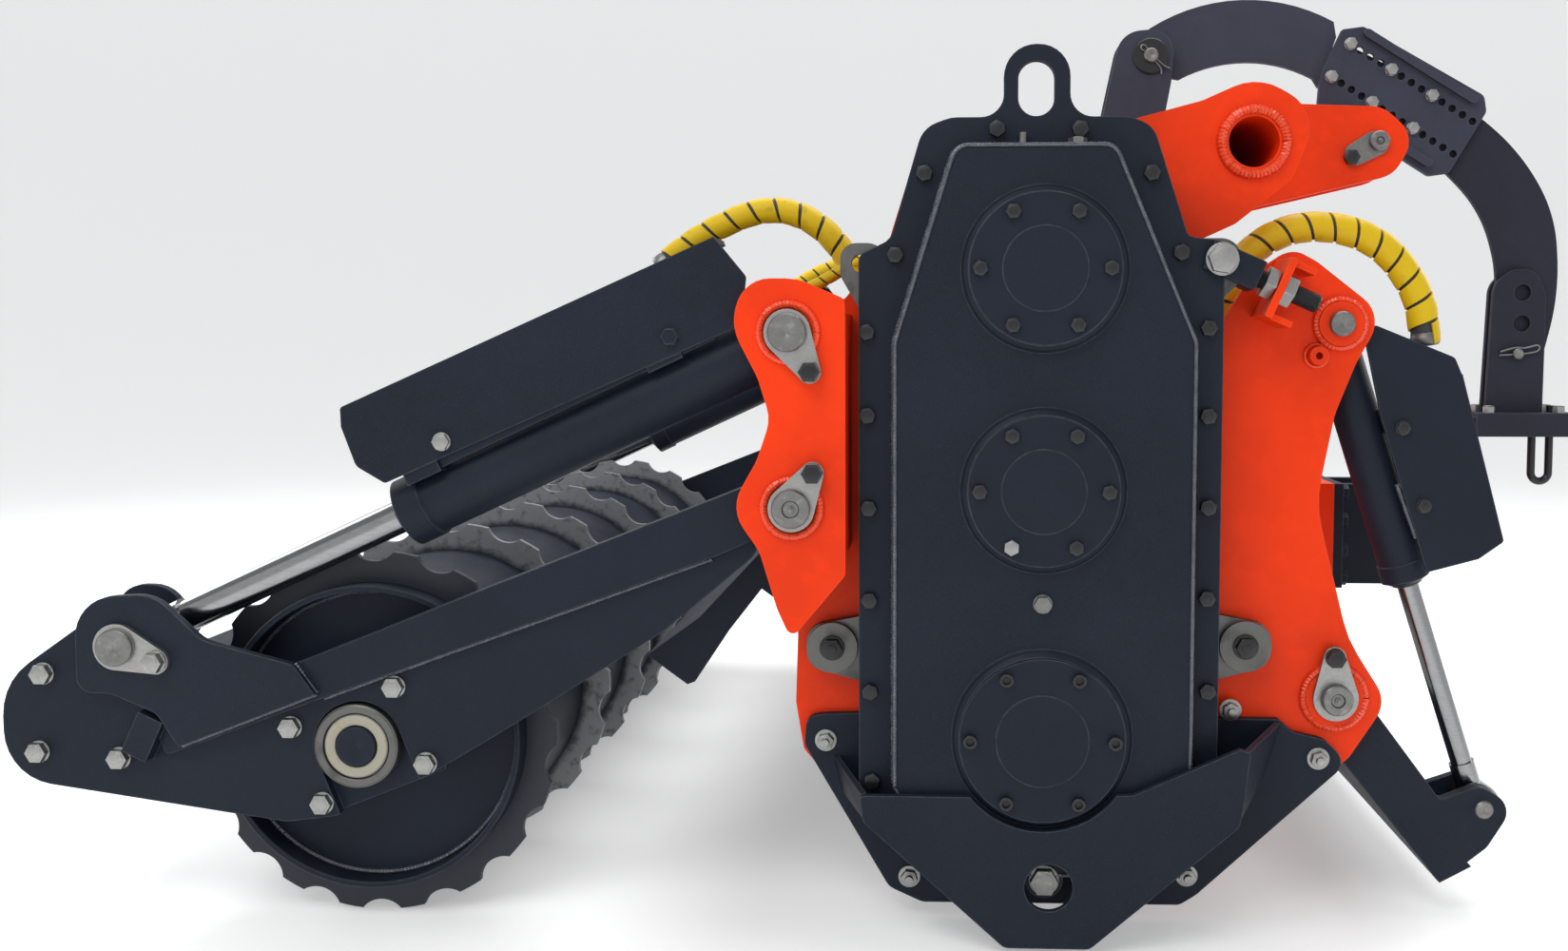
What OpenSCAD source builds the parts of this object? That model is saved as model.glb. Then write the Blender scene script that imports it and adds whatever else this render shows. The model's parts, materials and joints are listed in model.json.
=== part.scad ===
// Stump grinder for a tractor's three-point linkage.
// +X points to the tractor, +Y across the machine, +Z up.
// The origin is on the ground, below the middle of the machine's length and width.

/* [Frame] */
// Distance between the outer faces of the main side plates
frame_w = 1868; // [1400:2:2400]
// Thickness of the main side plates
side_plate_t = 15; // [10:1:30]
// Thickness of the bolted lower side plates
lower_plate_t = 18; // [10:1:30]
// Outer radius of the upper cross tube
cross_tube_r = 50; // [44:1:65]
// Wall of the upper cross tube
cross_tube_wall = 9; // [5:1:20]
// Thickness of the outer plates of the rear brackets
bracket_t = 20; // [12:1:30]
// Radius of the arm and cylinder pins
pin_r = 30; // [20:1:36]

/* [Rotor and gearbox] */
// Height of the rotor's axis above the ground
rotor_z = 344; // [330:1:380]
// Radius of the rotor to the tips of its tools
rotor_r = 322; // [280:1:330]
// Radius of the rotor's drum
rotor_drum_r = 190; // [150:1:230]
// Number of tools on the rotor
tool_count = 36; // [20:1:48]
// Radius of the rotor's shaft
rotor_shaft_r = 55; // [40:1:70]
// Size of the gear teeth, as a gear module
gear_module = 8; // [8:0.1:8.4]
// Teeth of the gear on the rotor
rotor_teeth = 50; // [46:2:50]
// Teeth of the idler gear
idler_teeth = 48; // [46:2:50]
// Teeth of the upper gear
upper_teeth = 38; // [34:2:42]
// Depth of the raised gearbox cover
cover_depth = 40; // [30:1:60]
// Radius of the lower bearing cover
lower_cover_r = 130; // [110:1:140]
// Radius of the upper bearing covers
upper_cover_r = 118; // [100:1:130]

/* [Roller] */
// Radius of the roller over its rings
roller_r = 308; // [290:1:330]
// Radius of the roller's drum
drum_r = 256; // [220:1:265]
// Thickness of each ring
ring_t = 12; // [8:1:20]
// Number of rings
ring_count = 6; // [4:1:9]
// Number of notches around each ring
notch_count = 18; // [12:1:24]
// Radius of each notch
notch_r = 43; // [25:1:48]
// Radius of the roller's bearings
roller_bearing_r = 69; // [55:1:71]

/* [Cylinders] */
// Radius of the rear cylinders' barrels
rear_barrel_r = 57; // [48:1:58]
// Radius of the rear cylinders' rods
rear_rod_r = 27; // [20:1:34]
// Radius of the front cylinders' barrels
front_barrel_r = 40; // [34:1:42]
// Radius of the front cylinders' rods
front_rod_r = 17.5; // [12:0.5:22]

/* [Support arm] */
// Thickness of the arm's curved plates
arm_plate_t = 14; // [8:1:20]
// Pitch of the adjusting holes
hole_pitch = 27.6; // [22:0.1:28]
// Radius of the adjusting holes
hole_r = 9; // [6:0.5:11]

/* [Hidden] */
$fn = 64;
EPS = 0.01;

// Clearances
run_gap = 0.05;      // running fit on the radius
side_gap = 3;        // between plates that turn past each other
slide_gap = 0.3;     // between plates that slide on each other

// Where the machine's own frame stands in the part's frame
home_x = 214;        // the rotor's axis stands this far in front of the middle

// Levels across the machine, from the middle outwards
side_y = frame_w / 2;                  // outer face of the side plates
inner_y = side_y - side_plate_t;       // inner face of the side plates
lower_y = side_y + lower_plate_t;      // outer face of the lower plates
case_y = side_y + 14;                  // back wall of the gearbox case
flange_t = 12;
flange_y = side_y + 106;               // outer face of the gearbox flange
cover_y = flange_y + cover_depth;      // outer face of the raised cover
boss_y = cover_y + 20;                 // outer face of the bearing covers
guard_t = 12;
guard_y = boss_y + 1;                  // outer face of the V guard
ring_y = side_y + 15;                  // middle of the outermost roller ring
drum_y = side_y + 64;                  // end of the roller's drum
arm_in_y = drum_y + 6;                 // inner face of the rear arms
arm_web_y = arm_in_y + 18;             // inner face of the arm's web plate
web_t = 18;
arm_out_y = arm_web_y + web_t + 12;    // outer face of the arm's beam
clevis_t = 15;
clevis_y = arm_out_y + clevis_t;       // outer face of the rod clevis
rear_cyl_y = side_y + 69;              // axis of the rear cylinders
bracket_in_y = rear_cyl_y + rear_barrel_r + 9;
bracket_y = bracket_in_y + bracket_t;  // outer face of the rear brackets
front_cyl_y = side_y - 74;             // axis of the front cylinders
hood_arm_t = 20;
hood_arm_y = inner_y - 7;              // outer face of the hood's arms
stay_y = 122;                          // middle of the support arm

// Axes that run across the machine, as [x, z] from the rotor's axis
lift = rotor_z - 332;                  // height of the drawing's base above the ground
shaft_x = -4;
rotor_p = [shaft_x, rotor_z - lift];
idler_p = rotor_p + [0, gear_module * (rotor_teeth + idler_teeth) / 2];
upper_p = idler_p + [0, gear_module * (idler_teeth + upper_teeth) / 2];
arm_p = [-397, 696];                   // rear arm pivot
barrel_p = [-402, 970];                // rear cylinder, upper pin
rod_p = [-1499, 462];                  // rear cylinder, rod pin
roller_p = [-1118, roller_r - lift];   // roller axis
front_p = [485, 985];                  // front cylinder, upper pin
hood_p = [487, 368];                   // hood pivot
hood_rod_p = [745, 174];               // front cylinder, rod pin
tube_p = [341, 1279];                  // upper cross tube
link_p = [781, 1391];                  // top link pin
stay_p = [307, 1609];                  // support arm pivot
foot_p = [1158, 927];                  // support foot pivot
lower_link_p = [712, 585];             // lower link pins

// Colours
CHARCOAL = "#262a34";
ORANGE = "#e84405";
STEEL = "#b9bcc0";
ZINC = "#c9c9c6";
BLACK = "#17181b";
YELLOW = "#d9c410";
CREAM = "#d8d2c0";

// ---------- outlines ----------

function unit(v) = v / norm(v);
function polar(p, r, a) = [p[0] + r * cos(a), p[1] + r * sin(a)];
function arc(p, r, from, to, steps = 12) =
    [for (i = [0:steps]) polar(p, r, from + (to - from) * i / steps)];
function angle_of(v) = atan2(v[1], v[0]);
function wrap(a) = a - 360 * floor((a + 180) / 360);
function xy(p) = [p[0], p[1]];

// The points of one corner b between a and c, rounded by the radius in b[2]
function corner(a, b, c) =
    b[2] == 0 ? [xy(b)] :
    let (
        u = unit(xy(a) - xy(b)),
        v = unit(xy(c) - xy(b)),
        half = acos(u * v) / 2,
        reach = min(b[2] / tan(half), 0.49 * norm(xy(a) - xy(b)), 0.49 * norm(xy(c) - xy(b))),
        mid = xy(b) + unit(u + v) * reach / cos(half),
        start = angle_of(xy(b) + u * reach - mid),
        sweep = wrap(angle_of(xy(b) + v * reach - mid) - start),
        steps = ceil(abs(sweep) / 12)
    )
    arc(mid, reach * tan(half), start, start + sweep, steps);

// A closed outline from corners [x, z, radius]
function rounded(c) =
    [for (i = [0:len(c) - 1]) each corner(c[(i + len(c) - 1) % len(c)], c[i], c[(i + 1) % len(c)])];

// Points of a route [x, y, z], made smooth by cutting corners
function softened(p) = concat([p[0]],
    [for (i = [0:len(p) - 2]) each [p[i] * 0.75 + p[i + 1] * 0.25, p[i] * 0.25 + p[i + 1] * 0.75]],
    [p[len(p) - 1]]);

// ---------- placing ----------

// Stands a node in the part's frame
module at_home() translate([home_x, 0, lift]) children();

// Extrudes an outline in X and Z across the machine, from y0 to y1
module slab(y0, y1) translate([0, y1, 0]) rotate([90, 0, 0]) linear_extrude(y1 - y0) children();

module plate(y0, y1, corners) slab(y0, y1) polygon(rounded(corners));

// A cylinder along Y at p = [x, z]
module across(p, r, y0, y1) translate([p[0], y0, p[1]]) rotate([-90, 0, 0]) cylinder(r = r, h = y1 - y0);

module far_side() mirror([0, 1, 0]) children();
module both_sides() {
    children();
    mirror([0, 1, 0]) children();
}

// Turns children so that their +X runs from p to q, with p as their origin
module along(p, q) translate([p[0], 0, p[1]]) rotate([0, -angle_of(q - p), 0]) children();

// A ring of children around p, facing -Y
module around(p, r, count, phase = 0)
    for (i = [0:count - 1]) {
        q = polar(p, r, phase + 360 * i / count);
        translate([q[0], 0, q[1]]) children();
    }

// A hexagon head on the near face y, with a washer
module hex_head(p, y, af, h, washer = 0)
    translate([p[0], -y, p[1]]) rotate([90, 0, 0]) {
        if (washer > 0) cylinder(r = washer, h = 3);
        translate([0, 0, washer > 0 ? 3 : 0]) cylinder(r = af / sqrt(3), h = h, $fn = 6);
    }

// A bar with round ends between p and q
module bar_outline(p, q, r1, r2) hull() {
    translate(p) circle(r1, $fn = 32);
    translate(q) circle(r2, $fn = 32);
}

// A weld bead that runs round a circle on the near face y
module round_weld(p, r, y, bead = 8)
    translate([p[0], -y, p[1]]) rotate([90, 0, 0]) rotate_extrude() translate([r, 0])
        polygon([[0, -EPS], [bead, -EPS], [bead * 0.6, bead * 0.6], [0, bead]]);

// ---------- main frame ----------

lower_bolt_holes = [[-356, 290], [-216, 59], [246, 68], [459, 269], [314, 349]];
clamp_holes = [[-344, 449], [335, 457]];
shaft_hole_r = rotor_shaft_r + 20;

side_corners = [
    [-395, 270, 20], [-408, 350, 15], [-404, 470, 30], [-444, 590, 60], [-468, 680, 50],
    [-446, 800, 60], [-446, 880, 60], [-475, 990, 60], [-400, 1040, 60], [-330, 1020, 20],
    [-255, 1110, 20], [-205, 1270, 30], [-120, 1296, 20], [143, 1316, 10], [257, 1346, 30],
    [346, 1385, 84], [446, 1328, 66], [404, 1219, 40], [313, 1147, 30], [249, 1118, 8],
    [240, 990, 10], [290, 978, 10], [342, 1066, 20], [406, 1108, 40], [446, 1086, 40],
    [555, 1000, 50], [512, 920, 60], [480, 838, 60], [452, 690, 200], [508, 466, 200],
    [575, 360, 50], [512, 262, 60], [370, 170, 20], [-310, 170, 20]];

module side_plate() difference() {
    plate(-side_y, -inner_y, side_corners);
    across(rotor_p, shaft_hole_r, -side_y - 1, -inner_y + 1);
    across(tube_p, cross_tube_r, -side_y - 1, -inner_y + 1);
    across(arm_p, pin_r, -side_y - 1, -inner_y + 1);
    across(barrel_p, pin_r, -side_y - 1, -inner_y + 1);
    across(front_p, front_pin_r, -side_y - 1, -inner_y + 1);
    across(hood_p, hood_pin_r, -side_y - 1, -inner_y + 1);
}
front_pin_r = 20;
hood_pin_r = 25;
spacer_x = -325;     // left face of the wall between a rear bracket and the side plate

// The bosses, sight tube and weld rings on the front of a side plate
module side_plate_trim() {
    difference() {
        union() {
            across(front_p, 36, -side_y - 12, -side_y);
            across(hood_p, 48, -side_y - 8, -side_y);
            across([447, 933], 15, -side_y - 25, -side_y);
        }
        across(front_p, front_pin_r, -side_y - 13, -side_y + 1);
        across(hood_p, hood_pin_r, -side_y - 9, -side_y + 1);
        across([447, 933], 6, -side_y - 26, -side_y - 5);
    }
    round_weld(tube_p, cross_tube_r, side_y);
    // the post that holds the front hose
    across([268, 965], 12, -inner_y - EPS, -front_hose_y - front_hose_r);
}

module side_plate_near() color(ORANGE) at_home() {
    difference() {
        side_plate();
        across(upper_p, shaft_hole_r - 5, -side_y - 1, -inner_y + 1);
    }
    side_plate_trim();
    tension_bracket();
}
module side_plate_far() color(ORANGE) at_home() far_side() {
    side_plate();
    side_plate_trim();
}

// The angle plate that the gearbox's tension screw is locked to
link_a = [272, 1084];           // bolt on the gearbox lug
link_dir = -24;                 // slope of the screw
link_y = flange_y - 22;         // axis of the screw
link_bolt_r = 12;
module tension_bracket()
    translate([link_a[0], 0, link_a[1]]) rotate([0, -link_dir, 0]) difference() {
        union() {
            translate([98, -link_y - 26, -52]) cube([12, link_y + 26 - side_y, 100]);
            for (z = [-52, 38]) translate([98, -link_y - 10, z]) cube([48, link_y + 10 - side_y, 10]);
        }
        translate([90, -link_y, 0]) rotate([0, 90, 0]) cylinder(r = 16, h = 30);
    }

// The curved roof over the rotor
shell_r = 385;
shell_t = 12;
module chamber_shell() color(CHARCOAL) at_home()
    slab(-inner_y, inner_y) polygon(concat(
        arc(rotor_p, shell_r + shell_t, 12, 172, 28),
        arc(rotor_p, shell_r, 172, 12, 28)));

// The box beam between the side plates that carries the lower links
beam_corners = [[372, 690, 8], [456, 690, 8], [456, 480, 8], [372, 480, 8]];
beam_x = 414;                   // middle of the beam's section
link_face_x = 570;              // face that a lower link bracket is bolted to
link_face_z = 493;              // lower edge of that face
link_face_h = 197;
link_flange_t = 18;
link_bracket_y = 480;           // middle of each lower link bracket
link_half = 55;                 // half the gap in a lower link bracket
link_pin_r = 18.3;              // free end of a lower link pin
link_base_r = 21;
module front_beam() color(ORANGE) at_home() {
    difference() {
        plate(-inner_y, inner_y, beam_corners);
        plate(-inner_y + 20, inner_y - 20, [for (c = beam_corners)
            [c[0] + (c[0] < beam_x ? 10 : -10), c[1] + (c[1] < 600 ? 10 : -10), 0]]);
    }
    both_sides() translate([456, -link_bracket_y - 110, link_face_z])
        cube([link_face_x - 456, 220, link_face_h]);
}

module lower_plate() difference() {
    plate(-lower_y, -side_y, [
        [-388, 330, 20], [-354, 334, 8], [-301, 336, 0], [394, 333, 0], [418, 312, 20],
        [470, 300, 30], [508, 262, 26], [262, 34, 40], [235, 17, 20], [-194, 15, 30], [-250, 40, 30],
        [-392, 282, 20]]);
    across(rotor_p, shaft_hole_r, -lower_y - 1, -side_y + 1);
    plate(-lower_y - 1, -side_y + 1, [
        [-250, 400, 0], [-250, 260, 60], [-150, 110, 90], [140, 110, 90], [242, 260, 60], [242, 400, 0]]);
    plate(-lower_y - 1, -side_y + 1, box_corners);
}
module lower_plate_near() color(CHARCOAL) at_home() lower_plate();
module lower_plate_far() color(CHARCOAL) at_home() far_side() lower_plate();

// One wall of the V guard, from an edge of its face back to the lower plate
module guard_wall(a, b, back_a, back_b, inward) hull() {
    slab(-guard_y + guard_t - 1, -guard_y + guard_t) polygon([a, b, b + inward, a + inward]);
    slab(-lower_y - 1, -lower_y) polygon([back_a, back_b, back_b + inward, back_a + inward]);
}

module v_guard() {
    difference() {
        plate(-guard_y, -guard_y + guard_t, [
            [-290, 242, 6], [-286, 200, 20], [-62, 0, 20], [72, 0, 20], [304, 200, 25],
            [312, 250, 10], [319, 318, 4], [303, 323, 4], [138, 248, 10], [-118, 242, 10]]);
        across(rotor_p, lower_cover_r + 14, -guard_y - 1, -guard_y + guard_t + 1);
        across([7, 98], 38, -guard_y - 1, -guard_y + guard_t + 1);
    }
    guard_wall([-290, 242], [-286, 202], [-343, 262], [-330, 205], [9, 2]);
    guard_wall([-286, 202], [-62, 4], [-330, 205], [-95, 18], [6, 7]);
    guard_wall([72, 4], [304, 202], [105, 18], [372, 240], [-6, 7]);
    guard_wall([304, 202], [319, 316], [372, 240], [397, 328], [-9, 2]);
}
module guard_near() color(CHARCOAL) at_home() v_guard();
module guard_far() color(CHARCOAL) at_home() far_side() v_guard();

module cross_tube() color(ORANGE) at_home() difference() {
    across(tube_p, cross_tube_r, -side_y - 4, side_y + 4);
    across(tube_p, cross_tube_r - cross_tube_wall, -side_y - 5, side_y + 5);
}

// The folded plate between the rotor and the roller
module rear_deflector() color(CHARCOAL) at_home() difference() {
    union() {
        slab(-inner_y, inner_y) polygon([
            [-352, 552], [-467, 604], [-573, 490], [-664, 424], [-595, 374], [-588, 384],
            [-646, 424], [-566, 482], [-464, 590], [-352, 540]]);
        both_sides() slab(-inner_y, -inner_y + 12) polygon([
            [-352, 552], [-467, 604], [-573, 490], [-664, 424], [-595, 374], [-582, 379],
            [-524, 466], [-467, 539], [-372, 470]]);
    }
    across(rotor_p, shell_r + shell_t, -inner_y - 1, inner_y + 1);
}

lug_gap = 60;
module top_link_lugs() color(ORANGE) at_home() both_sides() difference() {
    plate(-lug_gap - 20, -lug_gap, [
        [250, 1310, 40], [480, 1440, 30], [611, 1473, 10], [790, 1466, 70], [862, 1400, 70],
        [815, 1318, 60], [542, 1255, 10], [340, 1200, 60]]);
    across(tube_p, cross_tube_r, -lug_gap - 21, -lug_gap + 1);
    across(link_p, 21, -lug_gap - 21, -lug_gap + 1);
}
module top_link_pin() color(ZINC) at_home() {
    across(link_p, 21, -lug_gap - 34, lug_gap + 23);
    plate(-lug_gap - 26, -lug_gap - 20, [
        [710, 1378, 16], [705, 1345, 16], [735, 1338, 16], [800, 1368, 26], [806, 1412, 26],
        [762, 1412, 26]]);
    hex_head([722, 1356], lug_gap + 26, 30, 12);
}

// The plates that take the tractor's lower links
module link_bracket() {
    front_x = link_face_x + link_flange_t;
    translate([link_face_x, -link_bracket_y - 110, link_face_z]) cube([link_flange_t, 220, link_face_h]);
    for (side = [-1, 1]) difference() {
        translate([0, -link_bracket_y + side * (link_half + 10), 0]) plate(-10, 10, [
            [front_x, 686, 0], [735, 686, 40], [775, 585, 60], [735, 496, 40], [front_x, 496, 0]]);
        across(lower_link_p, link_base_r, -link_bracket_y - 100, -link_bracket_y + 100);
    }
    for (side = [-1, 1], z = [510, 562, 619, 673])
        translate([front_x, -link_bracket_y + side * 93, z]) rotate([0, 90, 0])
            cylinder(r = 14, h = 11, $fn = 6);
}
module link_bracket_near() color(CHARCOAL) at_home() link_bracket();
module link_bracket_far() color(CHARCOAL) at_home() far_side() link_bracket();
module lower_link_pins() color(ZINC) at_home() both_sides() {
    outer_face = link_bracket_y + link_half + 20;
    across(lower_link_p, link_pin_r, -outer_face - 70, -outer_face);
    across(lower_link_p, link_base_r, -outer_face, -link_bracket_y + 90);
    across(lower_link_p, 27, -link_bracket_y + 75, -link_bracket_y + 89);
}

// ---------- rear brackets ----------

bracket_corners = [
    [-399, 487, 12], [-421, 536, 60], [-449, 628, 60], [-495, 694, 60], [-452, 770, 60],
    [-430, 835, 60], [-450, 900, 60], [-494, 985, 90], [-466, 1054, 60], [-388, 1054, 90],
    [-313, 1022, 15], [-313, 590, 10]];

module rear_bracket() {
    difference() {
        plate(-bracket_y, -bracket_in_y, bracket_corners);
        across(arm_p, pin_r, -bracket_y - 1, -bracket_in_y + 1);
        across(barrel_p, pin_r, -bracket_y - 1, -bracket_in_y + 1);
    }
    translate([spacer_x, -bracket_in_y - EPS, 620]) cube([12, bracket_in_y + EPS - side_y, 380]);
    for (p = [arm_p, barrel_p]) round_weld(p, pin_r + 9, bracket_y, 4.5);
}
module rear_bracket_near() color(ORANGE) at_home() rear_bracket();
module rear_bracket_far() color(ORANGE) at_home() far_side() rear_bracket();

module frame_pins() color(ZINC) at_home() both_sides()
    for (p = [arm_p, barrel_p]) {
        across(p, pin_r, -bracket_y - 16, -inner_y + 4);
        across(p, pin_r - 9, -bracket_y - 20, -bracket_y - 15);
    }
module front_pins() color(ZINC) at_home() both_sides() {
    across(front_p, front_pin_r, -side_y - 20, -front_cyl_y + 60);
    across(hood_p, hood_pin_r, -side_y - 24, -inner_y + 38);
    across(hood_p, hood_pin_r - 9, -side_y - 28, -side_y - 23);
}

// A keeper from a pin to its bolt
module keeper(pin, bolt, y, r = 22) {
    difference() {
        slab(-y - 9, -y) bar_outline(pin, bolt, pin_r + r * 0.3, r * 0.8);
        across(pin, pin_r, -y - 10, -y + 1);
    }
    hex_head(bolt, y + 9, 30, 13, 18);
}
keeper_y = bracket_y + 5;
module lock_plates() color(ZINC) at_home() both_sides() {
    keeper(barrel_p, [-367, 909], keeper_y);
    keeper(arm_p, [-363, 752], keeper_y);
    for (b = [[-367, 909], [-363, 752]]) across(b, 15, -keeper_y, -bracket_y);
    difference() {
        slab(-side_y - 17, -side_y - 8) bar_outline(hood_p, [484, 437], hood_pin_r + 12, 18);
        across(hood_p, hood_pin_r, -side_y - 18, -side_y - 7);
    }
    across([484, 437], 12, -side_y - 8, -side_y);
    hex_head([484, 437], side_y + 17, 27, 12, 16);
}

module plate_bolts() color(ZINC) at_home() both_sides()
    for (p = lower_bolt_holes) hex_head(p, lower_y, 27, 14, 19);

// ---------- side gearbox ----------

flange_corners = [
    [-295, 238, 12], [-295, 1092, 15], [-252, 1113, 12], [-243, 1122, 12], [-194, 1290, 60],
    [-150, 1306, 60], [-67, 1306, 36], [-68, 1418, 50], [36, 1418, 50], [36, 1306, 36],
    [130, 1306, 60], [166, 1290, 60], [221, 1120, 12], [268, 1114, 10], [278, 1098, 12],
    [278, 238, 12], [236, 205, 20], [150, 110, 90], [-155, 110, 90], [-250, 205, 20]];
box_corners = [
    [-236, 250, 0], [-236, 955, 30], [-142, 1258, 26], [102, 1258, 26], [229, 955, 30], [229, 250, 0],
    [150, 112, 110], [-158, 112, 110]];
case_wall = 8;
box_inner = [
    [-226, 256, 0], [-226, 953, 20], [-134, 1248, 16], [94, 1248, 16], [219, 953, 20],
    [219, 256, 0], [146, 122, 100], [-154, 122, 100]];
shaft_points = [rotor_p, idler_p, upper_p];

module gearbox_case() color(CHARCOAL) at_home() {
    difference() {
        plate(-flange_y, -flange_y + flange_t, flange_corners);
        plate(-flange_y - 1, -flange_y + flange_t + 1, box_inner);
        slab(-flange_y - 1, -flange_y + flange_t + 1) {
            translate([-17, 1364]) circle(28);
            translate([-17, 1335]) circle(28);
            translate([-45, 1335]) square([56, 29]);
        }
        across([133, 1180], 6, -flange_y - 1, -flange_y + flange_t + 1);
        across(link_a, link_bolt_r + run_gap, -flange_y - 1, -flange_y + flange_t + 1);
    }
    difference() {
        plate(-flange_y + flange_t, -side_y, box_corners);
        plate(-flange_y, -case_y, box_inner);
        across(rotor_p, shaft_hole_r, -case_y - 1, -side_y + 1);
        across(upper_p, upper_shaft_r + 15, -case_y - 1, -side_y + 1);
        across(idler_p, idler_shaft_r + run_gap, -case_y - 1, -side_y - 4);
    }
}

module gearbox_cover() color(CHARCOAL) at_home() difference() {
    union() {
        plate(-cover_y, -flange_y, box_corners);
        across([1, 104], 30, -cover_y, -flange_y);
        for (p = [idler_p, upper_p]) round_weld(p, upper_cover_r, cover_y, 12);
        round_weld(rotor_p, lower_cover_r, cover_y, 12);
    }
    plate(-cover_y + 10, -flange_y + 1, box_inner);
    for (p = [idler_p, upper_p]) across(p, upper_cover_r - 20, -cover_y - 20, -cover_y + 11);
    across(rotor_p, lower_cover_r - 20, -cover_y - 20, -cover_y + 11);
}

// A bearing cover with its bearing seat for a shaft
module bearing_cover(p, r, shaft_r) difference() {
    union() {
        across(p, r, -boss_y, -cover_y);
        across(p, r * 0.56, -boss_y - 2, -boss_y);
        across(p, r - 20, -cover_y, -cover_y + 14);
    }
    across(p, shaft_r + run_gap, -cover_y - 4, -cover_y + 15);
}
module bearing_cover_upper() color(CHARCOAL) at_home() bearing_cover(upper_p, upper_cover_r, upper_shaft_r);
module bearing_cover_middle() color(CHARCOAL) at_home() bearing_cover(idler_p, upper_cover_r, idler_shaft_r);
module bearing_cover_lower() color(CHARCOAL) at_home() bearing_cover(rotor_p, lower_cover_r, rotor_shaft_r);

left_bolts = [[-191, 1219], [-237, 1092], [-282, 971], [-281, 839], [-279, 691], [-278, 543],
    [-277, 395], [-274, 250]];
right_bolts = [[163, 1218], [210, 1095], [254, 977], [255, 839], [257, 695], [257, 550],
    [260, 401], [260, 258]];
module case_bolts() color(BLACK) at_home()
    for (p = concat(left_bolts, right_bolts, [[-78, 1287], [51, 1286]])) hex_head(p, flange_y, 24, 12, 15);

module cover_bolts() color(BLACK) at_home() {
    for (p = [idler_p, upper_p])
        around(p, upper_cover_r - 18, 6) hex_head([0, 0], boss_y, 22, 9);
    around(rotor_p, lower_cover_r - 17, 6) difference() {
        across([0, 0], 11, -boss_y - 12, -boss_y);
        hex_head([0, 0], boss_y + 5, 12, 10);
    }
}

module gearbox_fittings() color(ZINC) at_home() {
    hex_head([-4, 546], cover_y, 24, 12, 15);
    hex_head([1, 104], cover_y, 38, 14, 24);
    translate([-38, -flange_y - 12, 1258 - EPS]) cylinder(r = 6, h = 22);
    translate([46, -flange_y - 20, 1258 - EPS]) {
        cylinder(r = 15, h = 12, $fn = 6);
        cylinder(r = 8, h = 14);
    }
}

// The lugs, big washers and bolts that hold the gearbox to the side plate
module case_clamps() color(STEEL) at_home() {
    for (p = clamp_holes) {
        toward = p[0] < 0 ? 1 : -1;
        plate(-side_y - 20, -side_y, [
            [p[0] - toward * 44, p[1] + 34, 34], [p[0] - toward * 44, p[1] - 34, 34],
            [p[0] + toward * 40, p[1] - 56, 20], [shaft_x - toward * 234, p[1] - 70, 0],
            [shaft_x - toward * 234, p[1] + 70, 0], [p[0] + toward * 40, p[1] + 50, 20]]);
        across(p, 42, -side_y - 32, -side_y - 20);
        hex_head(p, side_y + 32, 30, 16);
    }
    difference() {
        plate(-flange_y + flange_t, -flange_y + flange_t + 14, [
            [-325, 1060, 30], [-325, 1112, 30], [-262, 1112, 30], [-232, 1040, 10], [-236, 980, 0],
            [-290, 1000, 10]]);
        across([-293, 1080], 14, -flange_y, -flange_y + 40);
    }
    difference() {
        plate(-flange_y + flange_t, -flange_y + flange_t + 14, [
            [226, 1050, 0], [232, 1118, 20], [306, 1118, 32], [306, 1050, 32], [232, 980, 0]]);
        across(link_a, link_bolt_r + run_gap, -flange_y, -flange_y + 40);
    }
}

module far_bearing_cover() color(CHARCOAL) at_home() far_side() {
    difference() {
        union() {
            across(rotor_p, lower_cover_r + 30, -side_y - 40, -side_y);
            across(rotor_p, lower_cover_r, -boss_y, -side_y - 40);
        }
        across(rotor_p, rotor_shaft_r + run_gap, -boss_y + 14, -side_y + 1);
    }
    around(rotor_p, lower_cover_r - 17, 6) across([0, 0], 11, -boss_y - 12, -boss_y);
}

// The clevis and screw that draw the gearbox tight
module tension_link() color(ZINC) at_home() {
    hex_head(link_a, flange_y + 8, 42, 14, 26);
    across(link_a, link_bolt_r, -flange_y - 8, -flange_y + 45);
    translate([link_a[0], 0, link_a[1]]) rotate([0, -link_dir, 0]) {
        difference() {
            translate([-22, -link_y - 34, -24]) cube([88, 68, 48]);
            translate([-30, -flange_y - 0.5, -60]) cube([76, 28, 120]);
            across([0, 0], link_bolt_r, -flange_y - 20, -flange_y + 60);
        }
        translate([60, -link_y, 0]) rotate([0, 90, 0]) cylinder(r = 15, h = 112);
        for (x = [80, 110]) translate([x, -link_y, 0]) rotate([0, 90, 0]) cylinder(r = 27, h = 18, $fn = 6);
    }
}

// ---------- drive line ----------

idler_shaft_r = 40;
upper_shaft_r = 40;
input_shaft_r = 22;            // free end of the input shaft
input_base_r = 25;
input_end = 90;
shaft_reach = 560;
gear_y0 = -flange_y - 12;      // near face of the gears
gear_w = 64;
bevel_half = 130;
box_front = 190;

function inv(a) = tan(a) * 180 / PI - a;
function flank(teeth, r) =
    let (pitch_r = gear_module * teeth / 2, base_r = pitch_r * cos(20))
    360 / teeth * 0.21 + inv(20) - (r > base_r ? inv(acos(base_r / r)) : 0);
function gear_points(teeth, phase) =
    let (
        pitch_r = gear_module * teeth / 2,
        radii = [pitch_r - 1.25 * gear_module, pitch_r * cos(20) + 1, pitch_r, pitch_r + 0.9 * gear_module]
    )
    [for (i = [0:teeth - 1]) each concat(
        [for (r = radii) polar([0, 0], r, phase + 360 * i / teeth - flank(teeth, r))],
        [for (k = [3:-1:0]) polar([0, 0], radii[k], phase + 360 * i / teeth + flank(teeth, radii[k]))])];

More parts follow.
